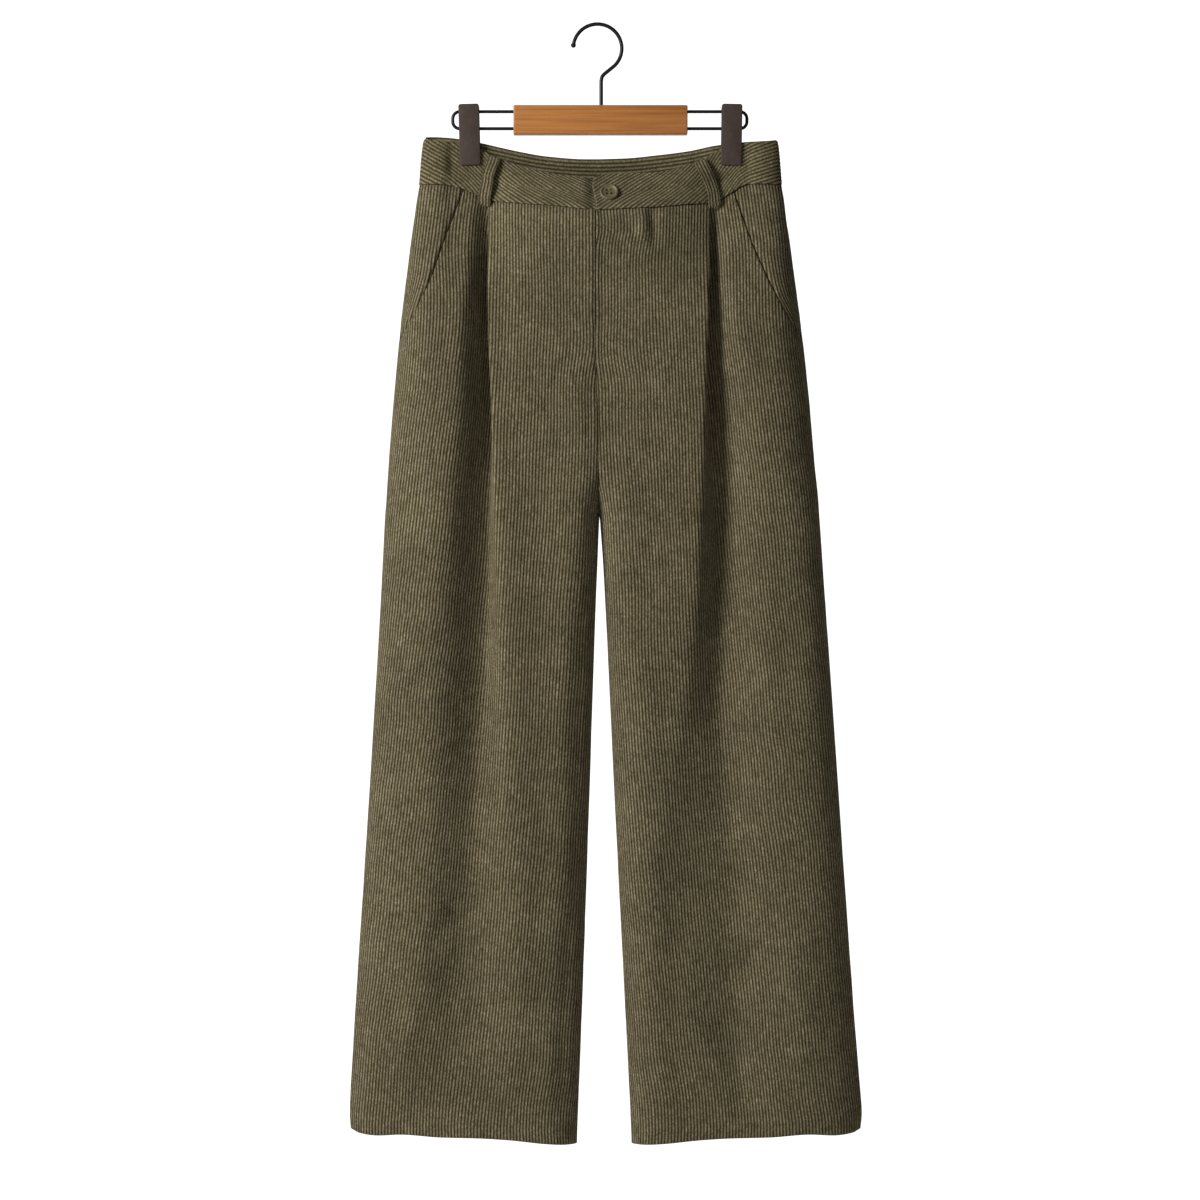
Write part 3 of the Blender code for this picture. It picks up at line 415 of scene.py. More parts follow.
RIGHT = Leg(
    name="right",
    side=-1,
    laps_over=False,
    outline=Table(
        "level outer inner",
        (186.4, 178.8, 0.15), (200, 181.7, 0.15), (214, 184.2, 0.15), (234, 188.2, 0.15),
        (274, 194.8, 0.15), (374, 204.7, 0.15), (440, 210, 0.25), (480, 212.6, 0.3), (488, 213.3, 0.8),
        (494, 213.7, 1.3), (508, 214.4, 1.9), (534, 215.7, 2.9), (574, 217.7, 4.6), (774, 229.7, 11.2),
        (974, 242.7, 18.2), (1074, 248.2, 22), (1100, 248.8, 23), (1118, 247.6, 23.6),
    ),
    pleat=Table(
        "level crest lap sink rise soft",
        (186.4, 110.1, 17, 4.8, 18, 1.1), (204, 110.1, 16, 9.5, 21, 1.2), (234, 110.2, 14, 15.5, 25, 1.4),
        (274, 110, 11, 20.5, 29, 1.7), (314, 109.6, 8, 23.5, 33, 2.0), (368, 107.4, 4, 25.5, 37, 2.5),
        (420, 105.8, 0, 26, 41, 3.2), (474, 104.6, -3, 25.5, 45, 4.2), (574, 101.5, -7, 23.5, 50, 6),
        (674, 99.8, -11, 20, 51, 7.5), (774, 99.5, -17, 15.5, 49, 9), (874, 101, -23, 11.5, 46, 10),
        (974, 105, -28, 7.5, 44, 12), (1040, 108, -32, 3.5, 42, 12), (1100, 108, -34, 0, 42, 12),
    ),
    band_outer=Curve((0, 173.6), (0.12, 175.2), (1, 178.8)),
    band_inner=Curve((0, -TAB_UNDERLAP), (1, -TAB_UNDERLAP)),
    band_top={
        Face.FRONT: Curve(
            (-25, 153.4), (6, 153.4), (32, 151.4), (60, 146.4), (82, 140), (102, 133), (120, 124.4),
            (142, 118.4), (166, 115.6), (176, 113.6), (180, 113.4),
        ),
        Face.BACK: Curve(
            (0, 133.2), (14, 133.2), (54, 130.4), (78, 126.4), (102, 121.4), (120, 117.4), (142, 113.4),
            (165, 111.4), (176, 112.2), (180, 112.8),
        ),
    },
    seam={
        Face.FRONT: Curve(
            (-25, 186.4), (4, 186.4), (46, 182.1), (80, 179.4), (104, 176.4), (120, 170.4), (138, 163.1),
            (158, 159.4), (182, 159.2),
        ),
        Face.BACK: BACK_SEAM,
    },
    pocket=Curve(
        (160, 133.4), (195, 146), (221, 155.5), (249, 164.5), (277, 176.5), (301, 189.4), (308, 193.8),
        (316, 200), (324, 206),
    ),
    grain=Curve(
        (186, 79.5), (300, 80.5), (380, 83.3), (460, 86.9), (560, 91.4), (660, 96.3), (760, 102.4),
        (860, 110.4), (960, 120.2), (1060, 129.8), (1104, 133.3),
    ),
    side_grain=Curve((158, 150), (240, 162.5), (300, 181), (323, 193)),
    creases={
        Face.FRONT: (
            Crease(((210, 138), (400, 158), (600, 164), (800, 172), (1010, 182)), width=27, depth=4.2),
            Crease(((440, 94), (600, 88), (720, 84), (900, 80), (1060, 84)), width=22, depth=3.4),
            Crease(((560, 16), (700, 22), (858, 24), (923, 32), (1116, 40)), width=9, depth=-2.6),
            Crease(((880, 200), (960, 206), (1116, 216)), width=15, depth=-2.0),
            Crease(((230, 30), (300, 34), (420, 40)), width=14, depth=-0.9),
            Crease(((350, 1), (440, 0), (540, 1)), width=3.2, depth=-2.8, fade=16),
            Crease(((330, 6), (400, 7), (470, 2), (560, 2)), width=9, depth=-3.0, fade=30),
            Crease(((200, 70), (300, 74), (430, 80)), width=15, depth=0.9),
            Crease(((300, 20), (350, 52), (390, 76)), width=9, depth=1.1, fade=26),
            Rumples(3, (150, 240), (430, 1090), 46, 1.5),
            Rumples(11, (20, 160), (620, 1100), 40, 1.0),
            Rumples(17, (10, 100), (200, 560), 22, 0.6),
        ),
        Face.BACK: (
            Crease(((240, 92), (330, 100), (520, 108)), width=12, depth=-4.2, fade=50),
            Crease(((480, 70), (640, 76), (860, 84), (1040, 92)), width=24, depth=-3.2),
            Crease(((560, 150), (760, 160), (960, 172)), width=22, depth=-2.8),
            Crease(((820, 120), (940, 128), (1116, 140)), width=20, depth=2.6),
            Crease(((440, 30), (520, 24), (640, 28)), width=10, depth=-2.2, fade=50),
            Rumples(23, (10, 230), (260, 1090), 70, 1.1),
        ),
    },
    pulls=(
        Pull(340, 6, (22, 30), 2.8), Pull(560, 60, (60, 60), 1.6), Pull(1060, 40, (30, 50), 2.6),
        Pull(980, 190, (50, 60), 3.0), Pull(250, 40, (40, 50), -1.2),
    ),
)

LEFT = Leg(
    name="left",
    side=1,
    laps_over=True,
    outline=Table(
        "level outer inner",
        (186.4, 180.8, 0.15), (200, 183.5, 0.15), (214, 185.7, 0.15), (234, 190, 0.15), (274, 197, 0.15),
        (374, 208.7, 0.15), (440, 214.4, 0.25), (480, 218.4, 0.3), (488, 218.8, 0.8), (494, 219.2, 1.4),
        (508, 220.1, 2.4), (534, 221.9, 4.4), (574, 224.7, 6.6), (774, 238.7, 16.2), (974, 252.7, 26.2),
        (1074, 260.2, 31.2), (1100, 261.4, 32.4), (1118, 260.2, 33),
    ),
    pleat=Table(
        "level crest lap sink rise soft",
        (186.4, 109.5, 17, 4.8, 18, 1.1), (204, 109.4, 16, 9, 20, 1.2), (234, 109, 13, 15, 24, 1.4),
        (274, 108.2, 9, 20, 31, 1.7), (314, 107.2, 5, 23.5, 38, 2.2), (368, 105.8, 0, 26, 50, 3.0),
        (420, 104.4, -5, 27.5, 56, 3.8), (474, 103, -10, 27.5, 58, 4.6), (574, 98, -18, 25, 58, 6),
        (674, 88, -30, 21, 56, 8), (774, 72, -50, 17, 53, 10), (874, 65, -62, 14, 53, 12),
        (974, 68, -60, 10, 52, 13), (1040, 80, -52, 5.5, 52, 13), (1100, 92, -46, 0, 52, 13),
    ),
    band_outer=Curve((0, 176.6), (0.12, 177.6), (1, 180.8)),
    band_inner=Curve((0, -1.5), (0.12, -4.8), (0.3, -6.2), (0.6, -4.6), (1, -1.5)),
    band_top={
        Face.FRONT: Curve(
            (-8, 150.4), (0, 149.9), (22, 149.1), (50, 148.4), (70, 145.4), (84, 141.4), (96, 137.2),
            (106, 132.6), (121, 123.9), (142, 118.4), (178, 115.9),
        ),
        Face.BACK: Curve(
            (0, 133.2), (26, 132.4), (58, 129.4), (90, 125.4), (115, 120.4), (142, 117), (162, 115.4),
            (180, 114.6),
        ),
    },
    seam={
        Face.FRONT: Curve(
            (-10, 186.4), (0, 186.4), (22, 185.4), (56, 183.4), (98, 179), (112, 178), (122, 173),
            (132, 167.4), (141, 161.2), (150, 158.9), (184, 158.6),
        ),
        Face.BACK: BACK_SEAM,
    },
    pocket=Curve(
        (160, 131.2), (196, 143.1), (231, 155.9), (266, 171.5), (293, 186.2), (306, 194.8), (316, 203.5),
        (324, 211),
    ),
    grain=Curve(
        (186, 80), (260, 78.5), (300, 79.1), (380, 82.7), (460, 86.8), (560, 91.3), (660, 95.6),
        (760, 101.7), (860, 111), (960, 122), (1060, 131.6), (1104, 134.9),
    ),
    side_grain=Curve((158, 142), (236, 155), (269, 162), (300, 180), (323, 196)),
    creases={
        Face.FRONT: (
            Crease(((600, 46), (700, 44), (820, 46), (960, 56)), width=20, depth=2.6),
            Crease(((970, 124), (1040, 138), (1116, 156)), width=17, depth=-4.2, fade=45),
            Crease(((860, 186), (960, 196), (1116, 206)), width=20, depth=2.2),
            Crease(((176, 53), (196, 52.5), (232, 56)), width=6.5, depth=-3.2, fade=22),
            Crease(((176, 43), (198, 44), (230, 46)), width=6, depth=1.9, fade=20),
            Crease(((190, 22), (206, 32), (222, 50)), width=5, depth=-1.4, fade=12),
            Crease(((900, 60), (1000, 74), (1116, 86)), width=14, depth=-1.6),
            Crease(((420, 168), (560, 180), (700, 194)), width=18, depth=-2.0),
            Rumples(5, (130, 250), (380, 1090), 40, 1.0),
            Rumples(13, (30, 150), (560, 1100), 40, 1.0),
            Rumples(19, (8, 100), (196, 560), 26, 0.7),
        ),
        Face.BACK: (
            Crease(((240, 94), (330, 100), (500, 106)), width=12, depth=-4.0, fade=50),
            Crease(((520, 90), (700, 98), (900, 110)), width=24, depth=-3.4),
            Crease(((640, 170), (820, 182), (1000, 196)), width=20, depth=-2.6),
            Crease(((900, 110), (1000, 118), (1116, 130)), width=18, depth=2.4),
            Crease(((440, 34), (530, 28), (650, 34)), width=10, depth=-2.0, fade=50),
            Rumples(29, (10, 235), (260, 1090), 70, 1.1),
        ),
    },
    pulls=(
        Pull(344, 16, (20, 34), 2.4), Pull(226, 46, (16, 16), -2.0), Pull(600, 40, (60, 50), -1.4),
        Pull(1050, 60, (30, 60), 2.4), Pull(900, 190, (60, 60), -2.0),
    ),
)

LEGS = (RIGHT, LEFT)


class Drape:
    """The shape that one leg's cloth hangs in: the same rules that shape the frame's solids."""

    def __init__(self, leg: Leg) -> None:
        """Keep the leg whose sizes are read."""
        self.leg = leg

    def edges(self, level: float) -> tuple[float, float]:
        """The outs of the leg's inner and outer edge at this level."""
        return self.leg.outline.read("inner", level), self.leg.outline.read("outer", level)

    def drop_at(self, out: np.ndarray, level: float, face: Face) -> np.ndarray:
        """The drop of each point on the section at this level.

        Args:
            out: The points' distances from the centre line.
            level: The section's drop at the centre front.
            face: The panel's side of the garment.

        Returns:
            The drops, bent to follow the waist seam and the hem near those edges.
        """
        near_waist = 1 - smoothstep((level - WAIST_LEVEL) / WAIST_FADE)
        near_hem = smoothstep((level - HEM_LEVEL + HEM_FADE) / HEM_FADE)
        inner, outer = self.edges(level)
        to_seam = (self.leg.seam[face].at(out) - WAIST_LEVEL) * near_waist
        to_hem = (HEM_LINE.at((out - inner) / (outer - inner)) - HEM_LEVEL) * near_hem
        return level + to_seam + to_hem

    def depth_at(self, out: np.ndarray, level: float, face: Face) -> np.ndarray:
        """How far the cloth's middle stands from the plane of the side seams, leaving out the pleat.

        Args:
            out: The points' distances from the centre line.
            level: The section's level.
            face: The panel's side of the garment.

        Returns:
            The depth of each point.
        """
        inner, outer = self.edges(level)
        at_waist = BAND_DEPTHS.read(f"{face.word}_foot", out)
        below = level - WAIST_LEVEL
        tilt = (at_waist - BAND_DEPTHS.read(f"{face.word}_grip", out)) / WAIST_LIP
        lip = np.clip(below / WAIST_LIP, 0, 1)
        depth = at_waist + (DEPTHS.read(face.word, level) - at_waist) * smoothstep(below / WAIST_TO_HIP)
        depth = depth + tilt * WAIST_LIP * lip * (1 - lip) ** 2
        closed = smoothstep((level - CROTCH_LEVEL + RISE_TURN) / RISE_TURN) ** CROTCH_EASE
        inseam = quarter_round((out - inner) / INSEAM_ROUND)
        side = quarter_round((outer - out) / DEPTHS.read("side_round", level))
        return depth * side * (1 - closed * (1 - inseam))

    def fly_step(self, out: np.ndarray, level: float) -> np.ndarray:
        """How far the right front is set back where it runs under the fly.

        Args:
            out: The points' distances from the centre line.
            level: The section's level.

        Returns:
            How much less deep each point lies.
        """
        if self.leg.laps_over:
            return np.zeros_like(out)
        along = 1 - smoothstep((level - FLY_FOOT - FLY_RUN_OUT) / (3 * FLY_RUN_OUT))
        return FLY_STEP * along * (1 - smoothstep((out - FLY_EDGE) / FLY_RAMP))

    def edge_lift(self, out: np.ndarray, level: float) -> np.ndarray:
        """How far the fly's folded edge stands off what it laps over.

        Args:
            out: The points' distances from the centre line.
            level: The section's level.

        Returns:
            How much deeper each point lies.
        """
        if not self.leg.laps_over:
            return np.zeros_like(out)
        along = 1 - smoothstep((level - FLY_FOOT + FLY_RUN_OUT) / FLY_RUN_OUT)
        return EDGE_LIFT * along * np.exp(-(((out - self.inner_edge(level)) / EDGE_LIFT_REACH) ** 2))

    def inner_edge(self, level: float) -> float:
        """Where a front starts: at the fly, then the centre seam, then the inseam.

        Args:
            level: The section's level.

        Returns:
            The out of the front's first point.
        """
        edge = self.leg.outline.read("inner", level)
        below_fly = smoothstep((level - FLY_FOOT) / FLY_RUN_OUT)
        to_crotch = 1 - smoothstep((level - FLY_FOOT) / (CROTCH_LEVEL - RISE_TURN - FLY_FOOT))
        shift = SEAM_SHIFT * to_crotch * below_fly
        if self.leg.laps_over:
            return edge - FLY_EDGE * (1 - below_fly) - shift
        return edge - FLY_UNDERLAP * (1 - below_fly) + shift

    def front_edge(self, level: float) -> float:
        """Where a front ends: at the slant pocket's mouth, then at the side seam.

        Args:
            level: The section's level.

        Returns:
            The out of the front's last point.
        """
        side = self.leg.outline.read("outer", level)
        if level > self.leg.pocket.places[-1]:
            return side
        mouth = self.leg.pocket.at(level)
        for _ in range(SETTLING_STEPS):
            mouth = self.leg.pocket.at(self.drop_at(mouth, level, Face.FRONT))
        return min(side, mouth)

    def sunk_depth(self, out: np.ndarray, level: float) -> np.ndarray:
        """The depth of a front outside its pleat, where it climbs from the trough to the side.

        Args:
            out: The points' distances from the centre line.
            level: The section's level.

        Returns:
            The depth of each point.
        """
        pleat = self.leg.pleat
        from_out = pleat.read("crest", level) - min(pleat.read("lap", level), PLEAT_SHADE)
        climb = smoothstep((out - from_out) / pleat.read("rise", level))
        round_off = DEPTHS.read("side_round", level)
        shown = quarter_round((self.leg.outline.read("outer", level) - out) / round_off)
        return self.depth_at(out, level, Face.FRONT) - pleat.read("sink", level) * (1 - climb) * shown

    def front_section(self, level: float) -> tuple[np.ndarray, list[float]]:
        """A front's path from the centre, round the pleat's two folds and out to the side.

        Args:
            level: The section's level.

        Returns:
            The (out, depth) points, and the runs along the path at which its stretches meet.
        """
        pleat = {name: self.leg.pleat.read(name, level) for name in self.leg.pleat.columns}
        start, crest = self.inner_edge(level), pleat["crest"]
        trough = crest - pleat["lap"]
        ease = np.linspace(0, math.pi / 2, PATH_SAMPLES)
        inside = start + (crest - start) * (1 - np.cos(ease))
        outside = trough + (self.front_edge(level) - trough) * np.sin(ease)
        over = self.depth_at(inside, level, Face.FRONT) - self.fly_step(inside, level)
        under = self.sunk_depth(outside, level)
        layer = min(LAYER_STEP, pleat["sink"] / 2)
        turns = [(crest, over[-1] - layer), (trough, under[0] + layer)]
        path = np.concatenate([np.stack([inside, over], 1), turns, np.stack([outside, under], 1)])
        points, run = even_steps(path)
        points = softened(points, pleat["soft"])
        at_crest, past_crest, at_trough, past_trough = run[PATH_SAMPLES - 1 : PATH_SAMPLES + 3]
        reach = FOLD_REACH + FOLD_REACH_SOFT * pleat["soft"]
        reach = min(reach, FOLD_REACH_SHARE * (at_trough - past_crest))
        meets = [at_crest - reach, past_crest + reach, at_trough - reach, past_trough + reach]
        return points, [0.0, *meets, float(run[-1])]

    def back_section(self, level: float) -> tuple[np.ndarray, list[float]]:
        """A back's path from the centre or inseam out to the side, as front_section gives a front's.

        Args:
            level: The section's level.

        Returns:
            The (out, depth) points, and the runs at the path's two ends.
        """
        inner, outer = self.edges(level)
        ease = np.linspace(0, math.pi, 2 * PATH_SAMPLES)
        outs = inner + (outer - inner) * (1 - np.cos(ease)) / 2
        points, run = even_steps(np.stack([outs, self.depth_at(outs, level, Face.BACK)], 1))
        return points, [0.0, float(run[-1])]

    def facing_section(self, level: float) -> tuple[np.ndarray, list[float]]:
        """The pocket facing's path, set in behind the front and level with it at the side seam.

        Args:
            level: The section's level.

        Returns:
            The (out, depth) points, and the runs at the path's two ends.
        """
        end = self.leg.outline.read("outer", level)
        mouth = self.front_edge(level)
        start = mouth - POCKET_UNDERLAP
        outs = start + (end - start) * np.sin(np.linspace(0, math.pi / 2, PATH_SAMPLES))
        path, run = even_steps(np.stack([outs, self.sunk_depth(outs, level)], 1))
        along = np.gradient(path, axis=0)
        inward = unit(np.stack([-np.abs(along[:, 1]), -np.abs(along[:, 0])], 1))
        level_again = smoothstep((path[:, 0] - mouth) / min(max(end - mouth, 1), MOUTH_CREVICE))
        level_again = level_again * (1 - smoothstep((level - FACING_LEVEL_FROM) / FACING_LEVEL_OVER))
        path = path + inward * (FACING_STEP * (1 - level_again))[:, None]
        return path, [0.0, float(run[-1])]

    def set_out(self, out: np.ndarray, depth: np.ndarray, drop: np.ndarray, face: Face) -> np.ndarray:
        """Points in space, in millimetres, which stay on their own side of the plane of the seams."""
        y = face.value * np.maximum(depth, SEAM_GAP / 2)
        return np.stack([CENTRE_X + self.leg.side * out, y, -drop], axis=-1)

    def band_point(self, out: np.ndarray, height: float, face: Face) -> np.ndarray:
        """Points on the middle of the waistband.

        Args:
            out: The points' distances from the centre line.
            height: Their share of the way from the top edge, 0, to the waist seam, 1.
            face: The band's side of the garment.

        Returns:
            Points in millimetres, one for each out.
        """
        leg = self.leg
        drop = leg.band_top[face].at(out) * (1 - height) + leg.seam[face].at(out) * height
        edge, grip, foot = (
            BAND_DEPTHS.read(f"{face.word}_{part}", np.abs(out)) for part in ("top", "grip", "foot")
        )
        depth = edge + (grip - edge) * smoothstep(2 * height)
        depth = depth + (foot - grip) * smoothstep(2 * height - 1)
        depth = depth * quarter_round((leg.band_outer.at(height) - out) / DEPTHS.rows[0, 3])
        if face is Face.FRONT and leg.laps_over:
            depth = depth + EDGE_LIFT * np.exp(-(((out - leg.band_inner.at(height)) / EDGE_LIFT_REACH) ** 2))
        elif face is Face.FRONT:
            depth = depth - TAB_STEP * (1 - smoothstep((out - TAB_CLEAR) / TAB_RAMP))
        return self.set_out(out, depth, drop, face)

    def place(self, section: np.ndarray, level: float, face: Face) -> np.ndarray:
        """The section's points in space, with the panel's creases laid on.

        Args:
            section: The (out, depth) points.
            level: The section's level.
            face: The panel's side of the garment.

        Returns:
            The points in millimetres.
        """
        out, depth = section[:, 0], section[:, 1]
        drop = self.drop_at(out, level, face)
        free = smoothstep(depth / CREASE_CLEAR)
        for crease in self.leg.creases[face]:
            depth = depth + crease.lift(out, drop) * free
        if face is Face.FRONT:
            depth = depth + self.edge_lift(out, level)
        depth = depth - SEAM_PINCH * math.exp(-(((level - WAIST_LEVEL) / SEAM_PINCH_REACH) ** 2)) * free
        return self.set_out(out, depth, drop, face)

    def row(self, section: Callable, samples: Sequence[int], level: float, face: Face, grain: Curve) -> tuple:
        """One row of a sheet that hangs from the waist.

        Args:
            section: The method that gives the row's path.
            samples: How many points each stretch of the path has.
            level: The row's level.
            face: The sheet's side of the garment.
            grain: The out of the grain line at each level.

        Returns:
            The points' outs, the points, and their places across the cloth from the grain line.
        """
        path, meets = section(level)
        marks = [np.linspace(a, b, n, endpoint=False) for a, b, n in zip(meets[:-1], meets[1:], samples)]
        marks = np.concatenate([*marks, meets[-1:]])
        path = resampled(path, np.linspace(0, meets[-1], len(path)), marks)
        outs, points = path[:, 0], self.place(path, level, face)
        along = run_along(points)
        start = max(grain.at(level), outs[0] + GRAIN_CLEAR)
        after = int(np.argmax(outs >= start))
        share = (start - outs[after - 1]) / (outs[after] - outs[after - 1])
        return outs, points, along - (along[after - 1] + share * (along[after] - along[after - 1]))

    def swing(self, out: np.ndarray, level: float) -> np.ndarray:
        """How far the ribs of a row lie off their straight line: a slow wander, and the leg's pulls.

        Args:
            out: The points' distances from the centre line.
            level: The section's level.

        Returns:
            The shift of each point.
        """
        waves = (
            size * np.sin(out / across + level / down + share * self.leg.side)
            for size, across, down, share in WANDERS
        )
        return sum(waves) + sum(pull.shift_at(out, level) for pull in self.leg.pulls)


@dataclass
class Layer:
    """One face of a cloth piece: its points and how they are numbered in rows."""

    points: np.ndarray
    outward: np.ndarray
    along: np.ndarray
    down: np.ndarray
    cloth: np.ndarray  # place on the flat cloth: across it and down it, in millimetres
    index: np.ndarray  # the point number at each row and mark

    def rim(self) -> tuple[np.ndarray, np.ndarray, np.ndarray]:
        """The points round the edge, from the first corner and along the top row first.

        Returns:
            Their numbers, the direction out of the piece at each, and a place round the rim from 0 to 4.
        """
        sides = [
            (self.index[0], -self.down),
            (self.index[:, -1], self.along),
            (self.index[-1, ::-1], self.down),
            (self.index[::-1, 0], -self.along),
        ]
        numbers, ways, places = [], [], []
        for turn, (line, way) in enumerate(sides):
            line = line[np.concatenate([[True], line[1:] != line[:-1]])]
            run = run_along(self.points[line])
            numbers.append(line[:-1])
            ways.append(way[line[:-1]])
            places.append(turn + run[:-1] / max(run[-1], 1e-9))
        return np.concatenate(numbers), np.concatenate(ways), np.concatenate(places)

    def triangles(self) -> np.ndarray:
        """Two triangles for each place in the rows, without those that have shrunk to a line.

        Returns:
            Three point numbers for each.
        """
        a, b = self.index[:-1, :-1].ravel(), self.index[:-1, 1:].ravel()
        c, d = self.index[1:, 1:].ravel(), self.index[1:, :-1].ravel()
        made = np.concatenate([np.stack([a, b, c], 1), np.stack([a, c, d], 1)])
        whole = (made[:, 0] != made[:, 1]) & (made[:, 1] != made[:, 2]) & (made[:, 0] != made[:, 2])
        return made[whole]


class ClothSurface:
    """The middle of a piece of cloth, as rows of closely spaced points from one side edge to the other."""

    def __init__(self, face: Face, rows: Sequence, across: Sequence, down: Sequence) -> None:
        """Work out which way the cloth faces at every point.

        Args:
            face: The side of the garment that the cloth's face looks to.
            rows: Each row's points in millimetres.
            across: Each row's places across the cloth, which rise along it.
            down: Each row's place down the cloth.
        """
        self.rows, self.across, self.places_down = np.array(rows), np.array(across), np.array(down)
        self.along = unit(np.gradient(self.rows, axis=1))
        self.down = unit(np.gradient(self.rows, axis=0))
        outward = unit(np.cross(self.along, self.down))
        self.mirrored = bool(np.mean(outward[:, :, 1]) * face.value < 0)
        self.outward = -outward if self.mirrored else outward

    def layer(self, rows: np.ndarray, marks: np.ndarray, lift: Callable) -> Layer:
        """Points at the marks across the cloth, lifted off its middle.

        Args:
            rows: The numbers of the rows to use.
            marks: Rising places across the cloth. Those past an edge all become that edge's point.
            lift: A function of the points' places across and down the cloth that gives each point's lift.

        Returns:
            The layer, with one point for each edge and for each mark between them.
        """
        sources = (self.rows, self.outward, self.along, self.down)
        made, cloth, index, count = [[] for _ in sources], [], [], 0
        for row in rows:
            run = self.across[row]
            between = (marks > run[0] + MARK_CLEAR) & (marks < run[-1] - MARK_CLEAR)
            at = np.concatenate([[run[0]], marks[between], [run[-1]]])
            first = int(np.argmax(between)) if between.any() else 0
            index.append(count + np.clip(np.arange(len(marks)) - first + 1, 0, len(at) - 1))
            count += len(at)
            for parts, source in zip(made, sources):
                parts.append(resampled(source[row], run, at))
            cloth.append(np.stack([at, np.full(len(at), self.places_down[row])], axis=1))
        points, outward, along, down = (np.concatenate(parts) for parts in made)
        cloth, outward = np.concatenate(cloth), unit(outward)
        lifted = points + outward * lift(*cloth.T)[:, None]
        return Layer(lifted, outward, unit(along), unit(down), cloth, np.array(index))

    def cut_area(self, flat: tuple[float, float]) -> float:
        """The cloth's area in square metres, within the rectangle that it was cut from.

        Args:
            flat: The rectangle's width and length in metres.

        Returns:
            The area.
        """
        widths = self.across[:, -1] - self.across[:, 0]
        steps = np.linalg.norm(np.diff(self.rows, axis=0), axis=2).mean(axis=1)
        area = float(np.sum((widths[:-1] + widths[1:]) / 2 * steps)) * MM * MM
        whole = flat[0] * flat[1]
        return min(max(area, LEAST_CUT * whole), whole)

    def span(self) -> tuple[float, float]:
        """The lowest and highest place across the cloth on any row."""
        return float(self.across[:, 0].min()), float(self.across[:, -1].max())


@dataclass(frozen=True)
class Wales:
    """The corduroy's ribs, straight down the cloth: round on top, with a narrow groove between two."""

    pitch: float = 3.2
    rise: float = 0.62
    sunk: float = 0.34  # how far a groove's floor lies under the middle of the pile
    phases: tuple[float, ...] = (0.0, 0.17, 0.38, 0.62, 0.83)
    wear: float = 0.12  # the share by which worn pile is lower or higher
    wear_turns: tuple[float, float] = (2.1, 0.021)  # radians from rib to rib, and in a millimetre down

    def place(self, across: np.ndarray, down: np.ndarray) -> np.ndarray:
        """A point's place across the ribs, in millimetres, from its place on the cloth."""
        return across

    def marks(self, low: float, high: float) -> np.ndarray:
        """Where a row needs points for the ribs between two places: the groove, its flanks and the top."""
        ribs = np.arange(math.floor(low / self.pitch), math.ceil(high / self.pitch) + 1)
        return ((ribs[:, None] + np.array(self.phases)) * self.pitch).ravel()

    def height(self, across: np.ndarray, down: np.ndarray) -> np.ndarray:
        """How far the pile stands above the cloth's mean face; a little more or less from rib to rib.

        Args:
            across: The points' places across the cloth.
            down: Their places down it.

        Returns:
            The heights in millimetres, below zero in the grooves.
        """
        phase = self.place(across, down) / self.pitch
        round_top = np.abs(np.sin(math.pi * phase)) ** RIB_ROUNDNESS
        by_rib, along = self.wear_turns
        worn = 1 + self.wear * np.sin(by_rib * np.floor(phase + 1e-6) + along * down)
        return self.rise * round_top * worn - self.sunk


@dataclass(frozen=True)
class BiasWales(Wales):
    """Ribs that climb away from the centre front, as on a band cut on the cross, steep and then flatter."""

    rise: float = 0.46
    sunk: float = 0.26
    steep: float = 30.0  # degrees
    flat: float = 16.0
    turn_from: float = 112.0
    turn_to: float = 156.0
    runs: tuple[float, float, int] = (-40.0, 260.0, 601)  # the places at which the climb is added up

    def place(self, across: np.ndarray, down: np.ndarray) -> np.ndarray:
        """A point's place across the ribs: part of its place down the band, plus the ribs' climb.

        Args:
            across: The points' places across the cloth.
            down: Their places down it.

        Returns:
            The places, which rise by one pitch from rib to rib.
        """
        runs = np.linspace(*self.runs)
        share = smoothstep((runs - self.turn_from) / (self.turn_to - self.turn_from))
        climb = np.radians(self.steep + (self.flat - self.steep) * share)
        climbed = np.cumsum(np.sin(climb)) * (runs[1] - runs[0])
        return down * np.cos(np.interp(across, runs, climb)) + np.interp(across, runs, climbed)


@dataclass(frozen=True)
class LevelWales(Wales):
    """Ribs that run along the piece instead of down it."""

    def place(self, across: np.ndarray, down: np.ndarray) -> np.ndarray:
        """A point's place across the ribs is its place down the piece."""
        return down


def even_marks(low: float, high: float, step: float) -> np.ndarray:
    """Evenly spaced places that start before the low one and end past the high one."""
    return np.arange(low - step, high + 2 * step, step)


def zipper(near: np.ndarray, near_at: np.ndarray, far: np.ndarray, far_at: np.ndarray) -> np.ndarray:
    """Triangles that join two rings of points, each numbered in the same direction.

    Args:
        near: The first ring's point numbers.
        near_at: Their places round the ring, rising from 0 to under 4.
        far: The second ring's point numbers.
        far_at: Their places.

    Returns:
        The triangles, each with a side on one ring and its tip on the other.
    """
    near_next, far_next = np.append(near_at[1:], 4.0), np.append(far_at[1:], 4.0)
    made, i, j = [], 0, 0
    while i < len(near) or j < len(far):
        if j >= len(far) or (i < len(near) and near_next[i] <= far_next[j]):
            made.append((near[(i + 1) % len(near)], near[i], far[j % len(far)]))
            i += 1
        else:
            made.append((near[i % len(near)], far[j], far[(j + 1) % len(far)]))
            j += 1
    return np.array(made)


